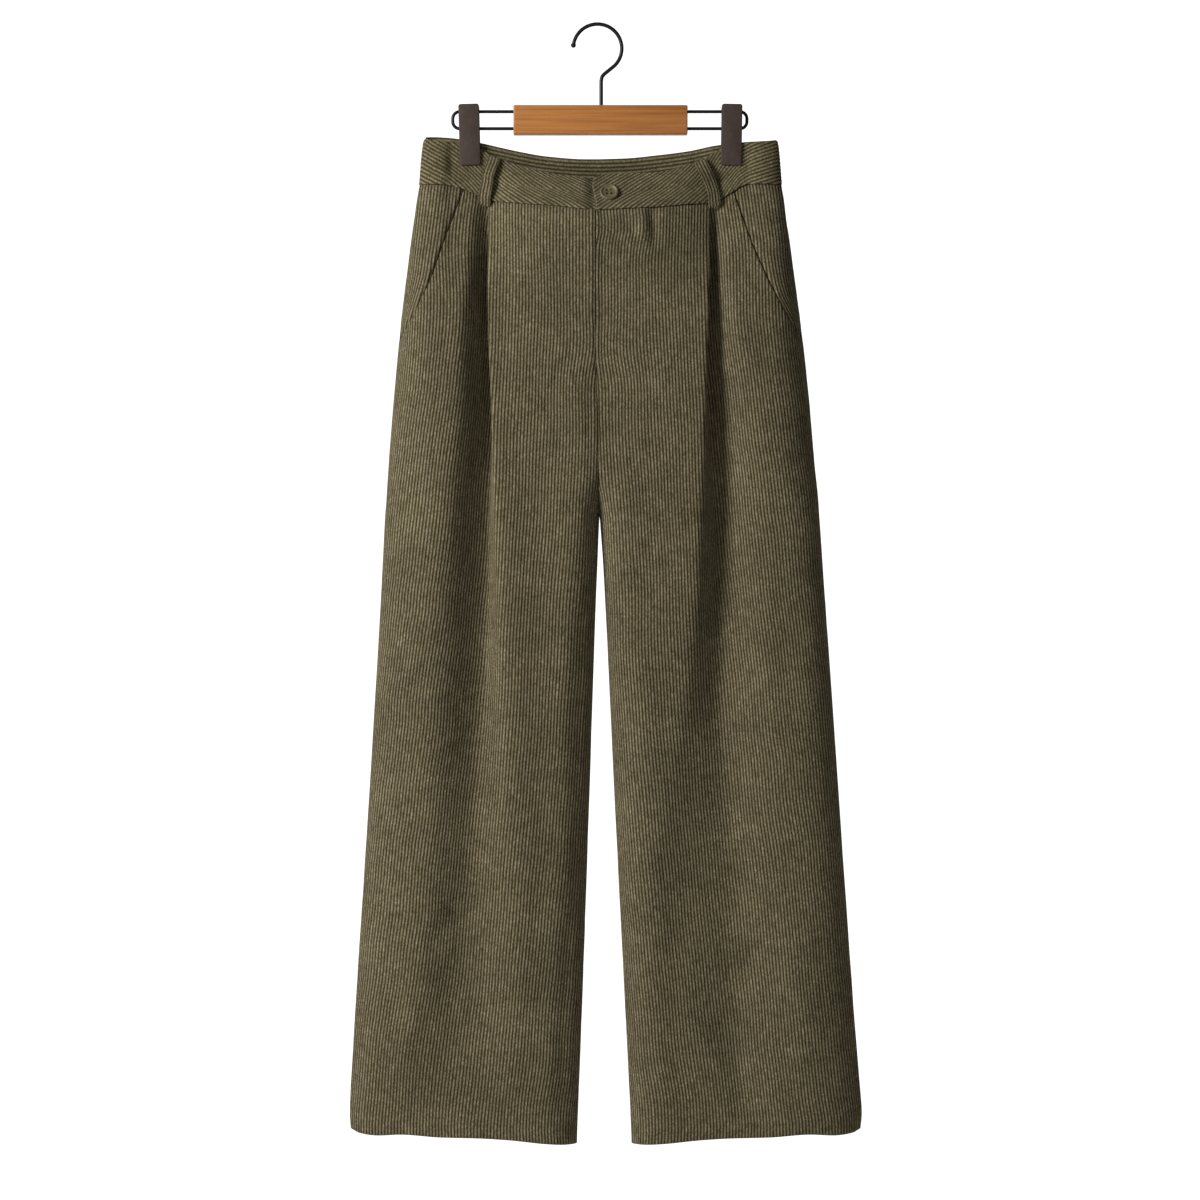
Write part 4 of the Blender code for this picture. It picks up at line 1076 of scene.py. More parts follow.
@dataclass
class ClothPiece:
    """A closed piece of cloth built on a surface: its face, its back and a rounded rim."""

    name: str
    surface: ClothSurface
    wales: Wales
    thickness: float = CLOTH
    mark_step: float | None = None  # between the face's points, where the wales don't set them
    back_marks: float = 1.6
    back_rows: np.ndarray | None = None
    back_lift: Callable | None = None
    ribbed_back: bool = False
    bulges: tuple[float, float, float, float] = (0.2, 0.2, 0.2, 0.2)  # top, outer, bottom, inner edge

    def face_height(self, across: np.ndarray, down: np.ndarray) -> np.ndarray:
        """How far the ribbed face stands from the cloth's middle."""
        return self.thickness / 2 + self.wales.height(across, down)

    def back_height(self, across: np.ndarray, down: np.ndarray) -> np.ndarray:
        """How far the back stands from the cloth's middle.

        Args:
            across: The points' places across the cloth.
            down: Their places down it.

        Returns:
            The distances in millimetres.
        """
        if self.ribbed_back:
            return self.face_height(across, down)
        if self.back_lift is not None:
            return self.back_lift(across, down)
        return np.full_like(across, self.thickness / 2)

    def build(self) -> bpy.types.Object:
        """Make the piece's mesh and object.

        Returns:
            The object, with the ribbed finish's slot first and the plain back's second.
        """
        surface = self.surface
        low, high = surface.span()
        marks = even_marks(low, high, self.mark_step) if self.mark_step else self.wales.marks(low, high)
        every_row = np.arange(len(surface.rows))
        back_rows = every_row if self.back_rows is None else self.back_rows
        face = surface.layer(every_row, marks, self.face_height)
        plain_marks = marks if self.ribbed_back else even_marks(low, high, self.back_marks)
        back = surface.layer(back_rows, plain_marks, lambda u, v: -self.back_height(u, v))

        rim, ways, places = face.rim()
        across, down = face.cloth[rim].T
        through = self.face_height(across, down) + self.back_height(across, down)
        bulge = np.array(self.bulges)[np.floor(places).astype(int)]
        points, cloth = [face.points, back.points], [face.cloth, back.cloth]
        rings, count = [rim], len(face.points) + len(back.points)
        for share in RIM_SHARES:
            inset = face.outward[rim] * (through * share)[:, None]
            stand = ways * (bulge * math.sin(math.pi * share))[:, None]
            points.append(face.points[rim] - inset + stand)
            cloth.append(face.cloth[rim])
            rings.append(count + np.arange(len(rim)))
            count += len(rim)

        back_start = len(face.points)
        faces = [face.triangles()]
        for near, far in zip(rings[:-1], rings[1:]):
            near_next, far_next = np.roll(near, -1), np.roll(far, -1)
            faces.append(np.stack([near_next, near, far], 1))
            faces.append(np.stack([near_next, far, far_next], 1))
        back_rim, _, back_places = back.rim()
        faces.append(zipper(rings[-1], places, back_rim + back_start, back_places))
        ribbed = sum(len(part) for part in faces)
        faces.append(back.triangles()[:, ::-1] + back_start)
        triangles = np.concatenate(faces)
        if surface.mirrored:
            triangles = triangles[:, ::-1]
        across, down = np.concatenate(cloth).T
        woven = np.stack([self.wales.place(across, down), down], axis=1)
        obj = mesh_object(self.name, np.concatenate(points), triangles, woven)
        slots = np.zeros(len(triangles), np.int32)
        if not self.ribbed_back:
            slots[ribbed:] = 1
        obj.data.polygons.foreach_set("material_index", slots)
        return obj

    def hand_over(
        self, finishes: Sequence, node: str, rests_on: Sequence[str], size: tuple, held: str = "hung"
    ) -> None:
        """Build the piece, dress it, seat it and work out its cut.

        Args:
            finishes: The finish of its face, and of its back where that is plain.
            node: The frame's node that it replaces.
            rests_on: The nodes that hold it; not used.
            size: Its flat width and length in millimetres.
            held: How the cloth is held; not used.
        """
        obj = self.build()
        dress(obj, *finishes)
        seat(obj, "corduroy", node)
        flat = (size[0] * MM, size[1] * MM)
        self.surface.cut_area(flat)


def linked(name: str, data: bpy.types.ID) -> bpy.types.Object:
    """A new object in the scene that holds the mesh, light or camera."""
    obj = bpy.data.objects.new(name, data)
    bpy.context.scene.collection.objects.link(obj)
    return obj


def mesh_object(name: str, points: np.ndarray, triangles: np.ndarray, woven: np.ndarray) -> bpy.types.Object:
    """A smooth mesh object from arrays.

    Args:
        name: The piece's name.
        points: The vertices in millimetres.
        triangles: Three vertex numbers a face.
        woven: Each vertex's place across the ribs and down the cloth, for the cloth's UV map.

    Returns:
        The object, linked to the scene.
    """
    mesh = bpy.data.meshes.new(name)
    mesh.vertices.add(len(points))
    mesh.vertices.foreach_set("co", (points * MM).astype(np.float32).ravel())
    mesh.loops.add(3 * len(triangles))
    mesh.loops.foreach_set("vertex_index", triangles.astype(np.int32).ravel())
    mesh.polygons.add(len(triangles))
    mesh.polygons.foreach_set("loop_start", np.arange(0, 3 * len(triangles), 3, dtype=np.int32))
    mesh.update(calc_edges=True)
    mesh.polygons.foreach_set("use_smooth", np.ones(len(triangles), bool))
    layer = mesh.uv_layers.new(name=WEAVE_MAP)
    layer.data.foreach_set("uv", (woven[triangles.ravel()] * MM).astype(np.float32).ravel())
    mesh.validate()
    return linked(name, mesh)


def dress(obj: bpy.types.Object, *finishes: bpy.types.Material) -> None:
    """Give a piece its finishes, one for each of its material slots."""
    obj.data.materials.clear()
    for finish in finishes:
        obj.data.materials.append(finish)


def seat(obj: bpy.types.Object, slot: str, *nodes: str) -> None:
    """Fix a piece to the part's one body, hide the frame's nodes that it replaces and log its face count.

    Args:
        obj: The finished piece.
        slot: The record's material slot; not used.
        nodes: The frame's nodes that the piece replaces.
    """
    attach(obj, "root")
    if nodes:
        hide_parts(*nodes)
    LOG.info("%s: %d faces", obj.name, len(obj.data.polygons))


@dataclass
class Panels:
    """The two fronts and the two backs, from the waist seam to the turned-up hem."""

    wales: Wales = Wales()
    # Where the rows lie: from a level to a level, and the steps between them
    spans: tuple[tuple[float, float, float], ...] = (
        (WAIST_LEVEL + WAIST_GAP, 191, 1.5),
        (191, 210, 4),
        (210, 430, 7),
        (430, 502, 4),
        (502, 1080, 8.5),
        (1080, HEM_LEVEL - HEM_TURN_UP - HEM_CLEAR, 4),
        (HEM_LEVEL - HEM_TURN_UP + HEM_CLEAR, HEM_LEVEL, 4),
    )
    front_samples: tuple[int, ...] = (280, 18, 34, 18, 320)
    back_samples: tuple[int, ...] = (620,)
    # Between these levels the plain inside has every other row
    half_rows: tuple[float, float] = (560.0, HEM_LEVEL - HEM_TURN_UP - 10)
    bulges: tuple[float, float, float, float] = (0.1, 0.2, 0.8, 0.3)

    def levels(self) -> np.ndarray:
        """The level of every row."""
        rows = [np.linspace(a, b, max(round((b - a) / step), 1) + 1)[:-1] for a, b, step in self.spans]
        return np.append(np.concatenate(rows), HEM_LEVEL)

    def surface(self, leg: Leg, face: Face) -> ClothSurface:
        """The middle of one panel's cloth.

        Args:
            leg: The side of the trousers.
            face: Front or back.

        Returns:
            The surface, with its places across the cloth measured from the grain line.
        """
        drape = Drape(leg)
        section = drape.front_section if face is Face.FRONT else drape.back_section
        samples = self.front_samples if face is Face.FRONT else self.back_samples
        rows, across = [], []
        for level in self.levels():
            outs, points, places = drape.row(section, samples, level, face, leg.grain)
            rows.append(points)
            across.append(places + drape.swing(outs, level))
        return ClothSurface(face, rows, across, self.levels())

    def build(self, ribbed: bpy.types.Material, plain: bpy.types.Material) -> None:
        """Make, dress and seat the four panels.

        Args:
            ribbed: The corduroy's face.
            plain: The corduroy's back.
        """
        levels = self.levels()
        numbers = np.arange(len(levels))
        sparse = (levels > self.half_rows[0]) & (levels < self.half_rows[1])
        kept = numbers[~sparse | (numbers % 2 == 0)]

        def inside(across: np.ndarray, down: np.ndarray) -> np.ndarray:
            """The hem's turned-up layer makes the cloth's inside stand further in."""
            return CLOTH / 2 + HEM_LAYER_STEP * (down > HEM_LEVEL - HEM_TURN_UP)

        length = HEM_LEVEL - WAIST_LEVEL + HEM_TURN_UP + 2 * SEAM_ALLOWANCE
        for leg in LEGS:
            for face in Face:
                surface = self.surface(leg, face)
                low, high = surface.span()
                name, size = f"{face.word}_{leg.name}", (high - low + 2 * SEAM_ALLOWANCE, length)
                piece = ClothPiece(f"{name}_panel", surface, self.wales, bulges=self.bulges)
                piece.back_rows, piece.back_lift = kept, inside
                piece.hand_over((ribbed, plain), name, [leg.band(face)], size)


@dataclass
class PocketFacings:
    """The side pieces that show behind the slant pocket mouths."""

    wales: Wales = Wales()
    lowest: float = 322.0
    row_step: float = 6.0
    samples: tuple[int, ...] = (299,)

    def build(self, ribbed: bpy.types.Material, plain: bpy.types.Material) -> None:
        """Make, dress and seat the two facings.

        Args:
            ribbed: The corduroy's face.
            plain: The corduroy's back.
        """
        top = WAIST_LEVEL + WAIST_GAP
        levels = np.linspace(top, self.lowest, round((self.lowest - top) / self.row_step) + 1)
        for leg in LEGS:
            drape = Drape(leg)
            made = [
                drape.row(drape.facing_section, self.samples, level, Face.FRONT, leg.side_grain)
                for level in levels
            ]
            surface = ClothSurface(Face.FRONT, [row[1] for row in made], [row[2] for row in made], levels)
            low, high = surface.span()
            piece = ClothPiece(f"pocket_side_{leg.name}", surface, self.wales)
            size = (high - low, self.lowest - top)
            piece.hand_over((ribbed, plain), f"pocket_facing_{leg.name}", [leg.band(Face.FRONT)], size)


@dataclass
class Waistband:
    """The band in three pieces: the right front under the tab, the left front with the tab, and the back."""

    nominal_height: float = 38.0
    turned_in: float = 4.0
    samples: int = 700
    mark_step: float = 0.65
    back_mark_step: float = 3.0
    tab_wales: Wales = BiasWales(steep=33.0, flat=17.0)
    under_wales: Wales = BiasWales(steep=27.0, flat=24.0)
    back_wales: Wales = LevelWales(rise=0.12, sunk=0.07)
    front_bulges: tuple[float, float, float, float] = (0.9, 0.2, 0.2, 0.9)
    back_bulges: tuple[float, float, float, float] = (0.9, 0.2, 0.2, 0.2)
    edge_clear: float = 0.004  # no row of the back lies closer than this share of the height to an edge

    def surface(self, leg: Leg, face: Face, heights: np.ndarray, start: Callable) -> ClothSurface:
        """The middle of half of the band.

        Args:
            leg: The side of the trousers.
            face: Front or back.
            heights: Each row's share of the way from the top edge to the seam.
            start: A function of the height that gives the out at which the row starts.

        Returns:
            The surface, with its places across measured from the centre line.
        """
        rows, across = [], []
        for height in heights:
            first, last = start(height), leg.band_outer.at(height)
            outs = first + (last - first) * np.sin(np.linspace(0, math.pi / 2, self.samples))
            rows.append(Drape(leg).band_point(outs, height, face))
            along = run_along(rows[-1])
            across.append(along - np.interp(0, outs, along))
        return ClothSurface(face, rows, across, heights * self.nominal_height)

    def build(self, ribbed: bpy.types.Material, plain: bpy.types.Material) -> None:
        """Make, dress and seat the three pieces.

        Args:
            ribbed: The band's face.
            plain: The corduroy's back.
        """
        heights = np.linspace(0, 1, round(self.nominal_height / self.mark_step) + 1)
        for leg in LEGS:
            wales = self.tab_wales if leg.laps_over else self.under_wales
            surface = self.surface(leg, Face.FRONT, heights, leg.band_inner.at)
            piece = ClothPiece(f"front_band_{leg.name}", surface, wales, BAND_CLOTH, self.mark_step)
            piece.back_rows, piece.bulges = np.arange(0, len(heights), 2), self.front_bulges
            self.hand_over(piece, (ribbed, plain), leg.band(Face.FRONT), leg)

        heights = self.back_wales.marks(0, self.nominal_height) / self.nominal_height
        inner = heights[(heights > self.edge_clear) & (heights < 1 - self.edge_clear)]
        heights = np.concatenate([[0], inner, [1]])
        right, left = (self.surface(leg, Face.BACK, heights, lambda height: 0.0) for leg in LEGS)
        rows = np.concatenate([right.rows[:, :0:-1], left.rows], axis=1)
        across = np.concatenate([-right.across[:, :0:-1], left.across], axis=1)
        surface = ClothSurface(Face.BACK, rows, across, left.places_down)
        piece = ClothPiece("back_band", surface, self.back_wales, BAND_CLOTH, self.back_mark_step)
        piece.ribbed_back, piece.bulges = True, self.back_bulges
        self.hand_over(piece, (ribbed,), "waistband_back", *LEGS)

    def hand_over(self, piece: ClothPiece, finishes: Sequence, node: str, *legs: Leg) -> None:
        """Finish the piece, and work out how large it was cut and which clips hold it."""
        low, high = piece.surface.span()
        clips = [f"clip_{leg.name}_front_jaw" for leg in legs]
        piece.hand_over(finishes, node, clips, (high - low, self.nominal_height + self.turned_in))


def band_frame(
    leg: Leg, out: float, height: float, face: Face, reach: float = 1.0
) -> tuple[np.ndarray, np.ndarray, np.ndarray, np.ndarray]:
    """A point on the waistband and the directions along it, down it and out of it.

    Args:
        leg: The side of the trousers.
        out: The point's distance from the centre line.
        height: Its share of the way down the band.
        face: The band's side of the garment.
        reach: How far to either side the directions are measured, in millimetres.

    Returns:
        The point in millimetres and three unit vectors.
    """
    share = reach / (leg.seam[Face.FRONT].at(out) - leg.band_top[Face.FRONT].at(out))

    def point(across: float, down: float) -> np.ndarray:
        """The point this far from the place, along the band and down it as a share."""
        return Drape(leg).band_point(np.float64(out + across), np.float64(height + down), face)

    along = point(reach, 0) - point(-reach, 0)
    down = point(0, share) - point(0, -share)
    away = np.cross(along, down)
    away *= math.copysign(1.0, away[1] * face.value)
    return point(0, 0), *(v / np.linalg.norm(v) for v in (along, down, away))


@dataclass(frozen=True)
class LoopPlace:
    """Where a belt loop is sewn: its two ends on the band."""

    name: str
    leg: Leg
    face: Face
    top: tuple[float, float]  # out and drop
    foot: tuple[float, float]


@dataclass
class BeltLoops:
    """The five belt loops, each a folded strip with its ribs running down it."""

    places: tuple[LoopPlace, ...] = (
        LoopPlace("front_right", RIGHT, Face.FRONT, (104.6, 132.4), (114.4, 180.6)),
        LoopPlace("front_left", LEFT, Face.FRONT, (100.6, 136.2), (115.4, 181.6)),
        LoopPlace("back_right", RIGHT, Face.BACK, (98, 124), (98, 172)),
        LoopPlace("back_left", LEFT, Face.BACK, (98, 124.5), (98, 172)),
        LoopPlace("back_centre", LEFT, Face.BACK, (0, 134.5), (0, 182.5)),
    )
    wales: Wales = Wales(rise=0.7, sunk=0.4)
    steps: int = 48
    samples: int = 24
    turned_in: float = 12.0
    turned_edge: float = 1.0
    bulges: tuple[float, float, float, float] = (0.3, 0.6, 0.3, 0.6)

    def surface(self, place: LoopPlace) -> ClothSurface:
        """The middle of one loop's strip.

        Args:
            place: Where the loop is sewn.

        Returns:
            The surface, with its places across set so that the strip's middle lies on a rib.
        """
        leg, face = place.leg, place.face
        marks = np.linspace(-0.5, 0.5, self.samples) * LOOP_WIDTH
        rows = []
        for share in np.linspace(0, 1, self.steps + 1):
            out, drop = (a + (b - a) * share for a, b in zip(place.top, place.foot))
            top, foot = leg.band_top[face].at(out), leg.seam[face].at(out)
            height = (drop - top) / (foot - top)
            here, _, down, away = band_frame(leg, out, min(height, 1.0), face)
            here = here + down * max(height - 1.0, 0) * (foot - top)
            arch = LOOP_ARCH_RISE * max(math.sin(math.pi * share), 0) ** LOOP_ARCH_POWER
            lift = BAND_CLOTH / 2 + SEAM_GAP + LOOP_CLOTH / 2 + LOOP_FOOT_CLEARANCE * share
            lift += LOOP_ARCH * min(1.0, arch)
            lean = leg.side * (place.foot[0] - place.top[0])
            across = np.cross((lean, 0, place.top[1] - place.foot[1]), away)
            across *= math.copysign(1.0, across[0]) / np.linalg.norm(across)
            rows.append(here + away * lift + across * marks[:, None])
        rows = np.array(rows)
        # The strip's middle lies on the top of a rib
        across = np.tile(marks + 1.5 * self.wales.pitch, (len(rows), 1))
        return ClothSurface(face, rows, across, run_along(rows[:, self.samples // 2]))

    def build(self, ribbed: bpy.types.Material, plain: bpy.types.Material) -> None:
        """Make, dress and seat the loops.

        Args:
            ribbed: The corduroy's face.
            plain: The corduroy's back.
        """
        for place in self.places:
            surface = self.surface(place)
            piece = ClothPiece(f"loop_{place.name}", surface, self.wales, LOOP_CLOTH)
            piece.bulges = self.bulges
            length = float(surface.places_down[-1]) + self.turned_in
            size = (2 * (LOOP_WIDTH + self.turned_edge), length)
            band = place.leg.band(place.face)
            piece.hand_over((ribbed, plain), f"belt_loop_{place.name}", [band], size, "folded")


def node_step(tree: bpy.types.NodeTree, kind: str, settings: dict, *inputs: tuple) -> bpy.types.Node:
    """Add a node, set it up and link or fill its inputs.

    Args:
        tree: The tree that gets the node.
        kind: The node's type name.
        settings: The node's own settings.
        *inputs: An input's name or number with the socket to link or the value to give.

    Returns:
        The node.
    """
    node = tree.nodes.new(kind)
    for name, value in settings.items():
        setattr(node, name, value)
    for key, value in inputs:
        if isinstance(value, bpy.types.NodeSocket):
            tree.links.new(value, node.inputs[key])
        else:
            node.inputs[key].default_value = value
    return node


@dataclass(frozen=True)
class Seam:
    """A line of stitches on the cloth: points in millimetres and the way out of the cloth at each."""

    name: str
    points: np.ndarray
    outward: np.ndarray


def front_spot(leg: Leg, out: float, drop: float, lift: float) -> tuple[np.ndarray, np.ndarray]:
    """A point on a front's face between the fly and the pleat.

    Args:
        leg: The side of the trousers.
        out: Its distance from the centre line.
        drop: Its drop.
        lift: How far it stands from the cloth's middle.

    Returns:
        The point in millimetres and the way out of the cloth there.
    """
    drape = Drape(leg)

    def middle(at_out: float, at_drop: float) -> np.ndarray:
        """The point on the cloth's middle.

        Args:
            at_out: The point's out.
            at_drop: Its drop.

        Returns:
            The point in millimetres.
        """
        outs, level = np.array([at_out]), at_drop
        for _ in range(SETTLING_STEPS):
            level += at_drop - float(drape.drop_at(outs, level, Face.FRONT)[0])
        depth = drape.depth_at(outs, level, Face.FRONT) - drape.fly_step(outs, level)
        return drape.place(np.stack([outs, depth], axis=1), level, Face.FRONT)[0]

    here = middle(out, drop)
    away = np.cross(middle(out + 1, drop) - here, middle(out, drop + 1) - here)
    away *= math.copysign(1.0, -away[1]) / np.linalg.norm(away)
    return here + away * lift, away


def fly_seams() -> list[Seam]:
    """The fly's topstitching, which runs down beside it and curves in to its foot, and the tack there.

    Returns:
        The two lines of stitches.
    """
    turns = np.linspace(0, math.pi / 2, 16)
    top = FLY_FOOT - FLY_CURVE
    path = [(FLY_WIDTH, drop) for drop in np.linspace(FLY_STITCH_TOP, top, 40)]
    path += [(FLY_WIDTH * (1 - FLY_HOOK * (1 - math.cos(t))), top + FLY_CURVE * math.sin(t)) for t in turns]
    path += [(out, FLY_STITCH_FOOT) for out in np.linspace(*FLY_LEVEL_OUTS, 8)]
    path = np.array(path)
    run = run_along(path)
    path = resampled(path, run, np.linspace(0, run[-1], FLY_SAMPLES))
    tack = [(out, FLY_TACK_DROP) for out in np.linspace(*FLY_TACK, 8)]
    rows = (("stitch_fly", path, STITCH_LIFT), ("stitch_fly_tack", tack, STITCH_LIFT + TACK_OVER))
    made = []
    for name, line, lift in rows:
        spots = [front_spot(LEFT, out, drop, lift) for out, drop in line]
        made.append(Seam(name, *(np.array(part) for part in zip(*spots))))
    return made


def loop_seams(loops: BeltLoops) -> list[Seam]:
    """The tack across each end of each belt loop.

    Args:
        loops: The belt loops.

    Returns:
        Two lines of stitches for each loop.
    """
    made = []
    for place in loops.places:
        surface = loops.surface(place)
        for end, row in (("top", TACK_ROW), ("foot", -1 - TACK_ROW)):
            outward = surface.outward[row, TACK_INSET:-TACK_INSET]
            points = surface.rows[row, TACK_INSET:-TACK_INSET] + outward * TACK_LIFT
            made.append(Seam(f"tack_{place.name}_{end}", points, outward))
    return made


@dataclass
class Stitches:
    """Rows of thread stitches, each stitch set along its line by one Geometry Nodes group."""

    length: float = 2.4
    gap: float = 0.7
    thread: float = 0.55
    shortest: float = 0.9  # a stitch's share of the length
    longest: float = 1.08
    flattened: float = 0.8  # its height as a share of its width
    sides: tuple[int, int] = (8, 6)
    seed: int = 7

    def group(self, thread: bpy.types.Material) -> tuple[bpy.types.NodeTree, dict[str, str]]:
        """The node group that lays stitches along a line.

        Args:
            thread: The thread's finish.

        Returns:
            The group and the identifier of each of its named inputs.
        """
        tree = bpy.data.node_groups.new("Stitch row", "GeometryNodeTree")
        add, face = partial(node_step, tree), tree.interface
        sockets = {}
        face.new_socket("Geometry", in_out="INPUT", socket_type="NodeSocketGeometry")
        for name, kind, value in (
            ("Stitch length", "NodeSocketFloat", self.length * MM),
            ("Gap", "NodeSocketFloat", self.gap * MM),
            ("Thread radius", "NodeSocketFloat", self.thread / 2 * MM),
            ("Seed", "NodeSocketInt", self.seed),
        ):
            socket = face.new_socket(name, in_out="INPUT", socket_type=kind)
            socket.default_value = value
            sockets[name] = socket.identifier
        face.new_socket("Geometry", in_out="OUTPUT", socket_type="NodeSocketGeometry")

        def reckon(operation: str, *values: object) -> bpy.types.NodeSocket:
            """The result of one arithmetic node."""
            return add("ShaderNodeMath", {"operation": operation}, *enumerate(values)).outputs[0]

        start = add("NodeGroupInput", {})
        line, length, gap, radius, seed = (start.outputs[k] for k in range(5))
        curve = add("GeometryNodeMeshToCurve", {}, (0, line)).outputs[0]
        step = reckon("ADD", length, gap)
        spots = add("GeometryNodeCurveToPoints", {"mode": "LENGTH"}, (0, curve), (2, step))
        away = add("GeometryNodeInputNamedAttribute", {"data_type": "FLOAT_VECTOR"}, (0, "away")).outputs[0]
        align = partial(add, "FunctionNodeAlignRotationToVector")
        facing = align({"axis": "X"}, (2, spots.outputs["Tangent"])).outputs[0]
        upright = align({"axis": "Z", "pivot_axis": "X"}, (0, facing), (2, away)).outputs[0]
        sphere = add("GeometryNodeMeshUVSphere", {}, *enumerate((*self.sides, radius))).outputs[0]
        half = reckon("MULTIPLY", reckon("DIVIDE", length, radius), 0.5)
        spread = ((2, self.shortest), (3, self.longest), (8, seed))
        wobble = add("FunctionNodeRandomValue", {"data_type": "FLOAT"}, *spread)
        drawn = reckon("MULTIPLY", half, wobble.outputs[1])
        size = add("ShaderNodeCombineXYZ", {}, (0, drawn), (1, 1.0), (2, self.flattened)).outputs[0]
        turned = (("Rotation", upright), ("Scale", size))
        laid = add("GeometryNodeInstanceOnPoints", {}, (0, spots.outputs[0]), (2, sphere), *turned).outputs[0]
        real = add("GeometryNodeRealizeInstances", {}, (0, laid)).outputs[0]
        done = add("GeometryNodeSetMaterial", {}, (0, real), ("Material", thread)).outputs[0]
        add("NodeGroupOutput", {}, (0, done))
        return tree, sockets

    def build(self, seams: Sequence[Seam], thread: bpy.types.Material) -> None:
        """Lay the stitches of every seam, as one object for each.

        Args:
            seams: The lines to stitch.
            thread: The thread's finish.
        """
        tree, sockets = self.group(thread)
        for number, seam in enumerate(seams):
            mesh = bpy.data.meshes.new(seam.name)
            edges = [(i, i + 1) for i in range(len(seam.points) - 1)]
            mesh.from_pydata((seam.points * MM).tolist(), edges, [])
            away = mesh.attributes.new("away", "FLOAT_VECTOR", "POINT")
            away.data.foreach_set("vector", seam.outward.astype(np.float32).ravel())
            line = linked(seam.name, mesh)
            row = line.modifiers.new("Stitches", "NODES")
            row.node_group = tree
            row[sockets["Seed"]] = self.seed + number
            realise(line)
            dress(line, thread)
            seat(line, "corduroy")


def realise(obj: bpy.types.Object) -> None:
    """Apply the object's modifiers to its mesh, remove them and shade its faces smooth.

    Args:
        obj: The object, which keeps its name and its place.
    """
    bpy.context.view_layer.update()
    evaluated = obj.evaluated_get(bpy.context.evaluated_depsgraph_get())
    mesh = bpy.data.meshes.new_from_object(evaluated)
    mesh.name = obj.name
    obj.modifiers.clear()
    obj.data = mesh
    mesh.transform(obj.matrix_world)
    obj.matrix_world = Matrix.Identity(4)
    mesh.shade_smooth()


@dataclass
class Button:
    """The turned four-hole button on the tab, sewn on with two turns of thread."""

    radius: float = 9.3
    thick: float = 3.0
    rim: float = 1.6
    dish: float = 1.9
    rounding: float = 0.55
    hole: float = 1.2
    hole_spacing: float = 4.4
    thread: float = 0.75
    strand: tuple[float, float] = (-1.0, 0.5)  # the heights between which it runs in a hole
    crossing: float = -0.35  # the height at which it crosses behind
    turns: int = 96
    drill_sides: int = 28
    merge: float = 0.02
    sharp: float = 35.0  # degrees, as flat_angles takes them

    def frame(self) -> Matrix:
        """Where the button lies: its matrix in metres, with Z out of the band.

        Returns:
            The matrix.
        """
        here, along, _, away = band_frame(LEFT, BUTTON_OUT, BUTTON_HEIGHT_SHARE, Face.FRONT, self.radius)
        z_axis = Vector(away)
        x_axis = (Vector(along) - z_axis * z_axis.dot(Vector(along))).normalized()
        turn = Matrix((x_axis, z_axis.cross(x_axis), z_axis)).transposed().to_4x4()
        lift = BAND_CLOTH / 2 + BUTTON_SHANK
        return Matrix.Translation((Vector(here) + z_axis * lift) * MM) @ turn

    def build(self, horn: bpy.types.Material, thread: bpy.types.Material) -> None:
        """Turn the button, bore its holes and sew it on.

        Args:
            horn: The button's finish.
            thread: The thread's finish.
        """
        r, rim = self.radius, self.rim
        high = [(r - 2 * rim, self.dish), (r - rim, self.thick), (r - 0.4 * rim, self.thick), (r, self.dish)]
        low = [(r, self.thick - self.dish), (r - rim, 0.0)]
        outline = rounded_path([(0.0, self.dish), *high, *low, (0.0, 0.0)], self.rounding)
        mesh = bpy.data.meshes.new("button_disc")
        edges = [(i, i + 1) for i in range(len(outline) - 1)]
        mesh.from_pydata([(x * MM, 0, z * MM) for x, z in outline], edges, [])
        disc = linked("button_disc", mesh)
        turned = disc.modifiers.new("Turned", "SCREW")
        turned.steps = turned.render_steps = self.turns
        turned.use_merge_vertices = True
        turned.merge_threshold = self.merge * MM
        step, deep = self.hole_spacing / 2, 2 * self.thick
        spots = [(x, y) for x in (-step, step) for y in (-step, step)]
        ends = [((x, y, -deep), (x, y, deep)) for x, y in spots]
        bore(disc, self.sharp, rods("button_drill", ends, self.hole, self.drill_sides))
        disc.data.transform(self.frame())
        dress(disc, horn)
        seat(disc, "button", "button")

        # The thread runs through each hole and crosses behind, so that only its turns down in the holes show;
        # its near-black colour is painted shade that darkens the holes
        strands = [[(x, y, height) for height in self.strand] for x, y in spots]
        strands += [[(x, y, self.crossing) for x in (-step, step)] for y in (-step, step)]
        sewn = tubes("button_thread", strands, self.thread / 2, sides=8)
        sewn.data.transform(self.frame())
        dress(sewn, thread)
        seat(sewn, "button")


def rounded_path(points: Sequence[tuple[float, float]], radius: float) -> list[tuple[float, float]]:
    """The path with each inner corner cut into a short curve.

    Args:
        points: The corners.
        radius: How far before and after a corner its curve starts and ends, at most.

    Returns:
        The new points.
    """
    made = [points[0]]
    for before, here, after in zip(points[:-2], points[1:-1], points[2:]):
        before, here, after = (np.array(p, float) for p in (before, here, after))
        reach = [min(radius, 0.45 * np.linalg.norm(p - here)) for p in (before, after)]
        start = here + (before - here) / np.linalg.norm(before - here) * reach[0]
        end = here + (after - here) / np.linalg.norm(after - here) * reach[1]
        for t in (0.0, 0.33, 0.67, 1.0):
            made.append(tuple(start * (1 - t) ** 2 + 2 * here * t * (1 - t) + end * t * t))
    return [*made, points[-1]]


@contextmanager
def edited(mesh: bpy.types.Mesh) -> Iterator[bmesh.types.BMesh]:
    """The mesh as a bmesh to work on, which is written back at the end.

    Args:
        mesh: The mesh to change.

    Returns:
        The bmesh, freed when the work on it ends.
    """
    bm = bmesh.new()
    bm.from_mesh(mesh)
    yield bm
    bm.to_mesh(mesh)
    bm.free()


def flat_angles(obj: bpy.types.Object, degrees: float) -> None:
    """Shade smooth, but keep every edge sharp that turns by more than this."""
    with edited(obj.data) as bm:
        for edge in bm.edges:
            edge.smooth = edge.is_boundary or edge.calc_face_angle(0.0) < math.radians(degrees)


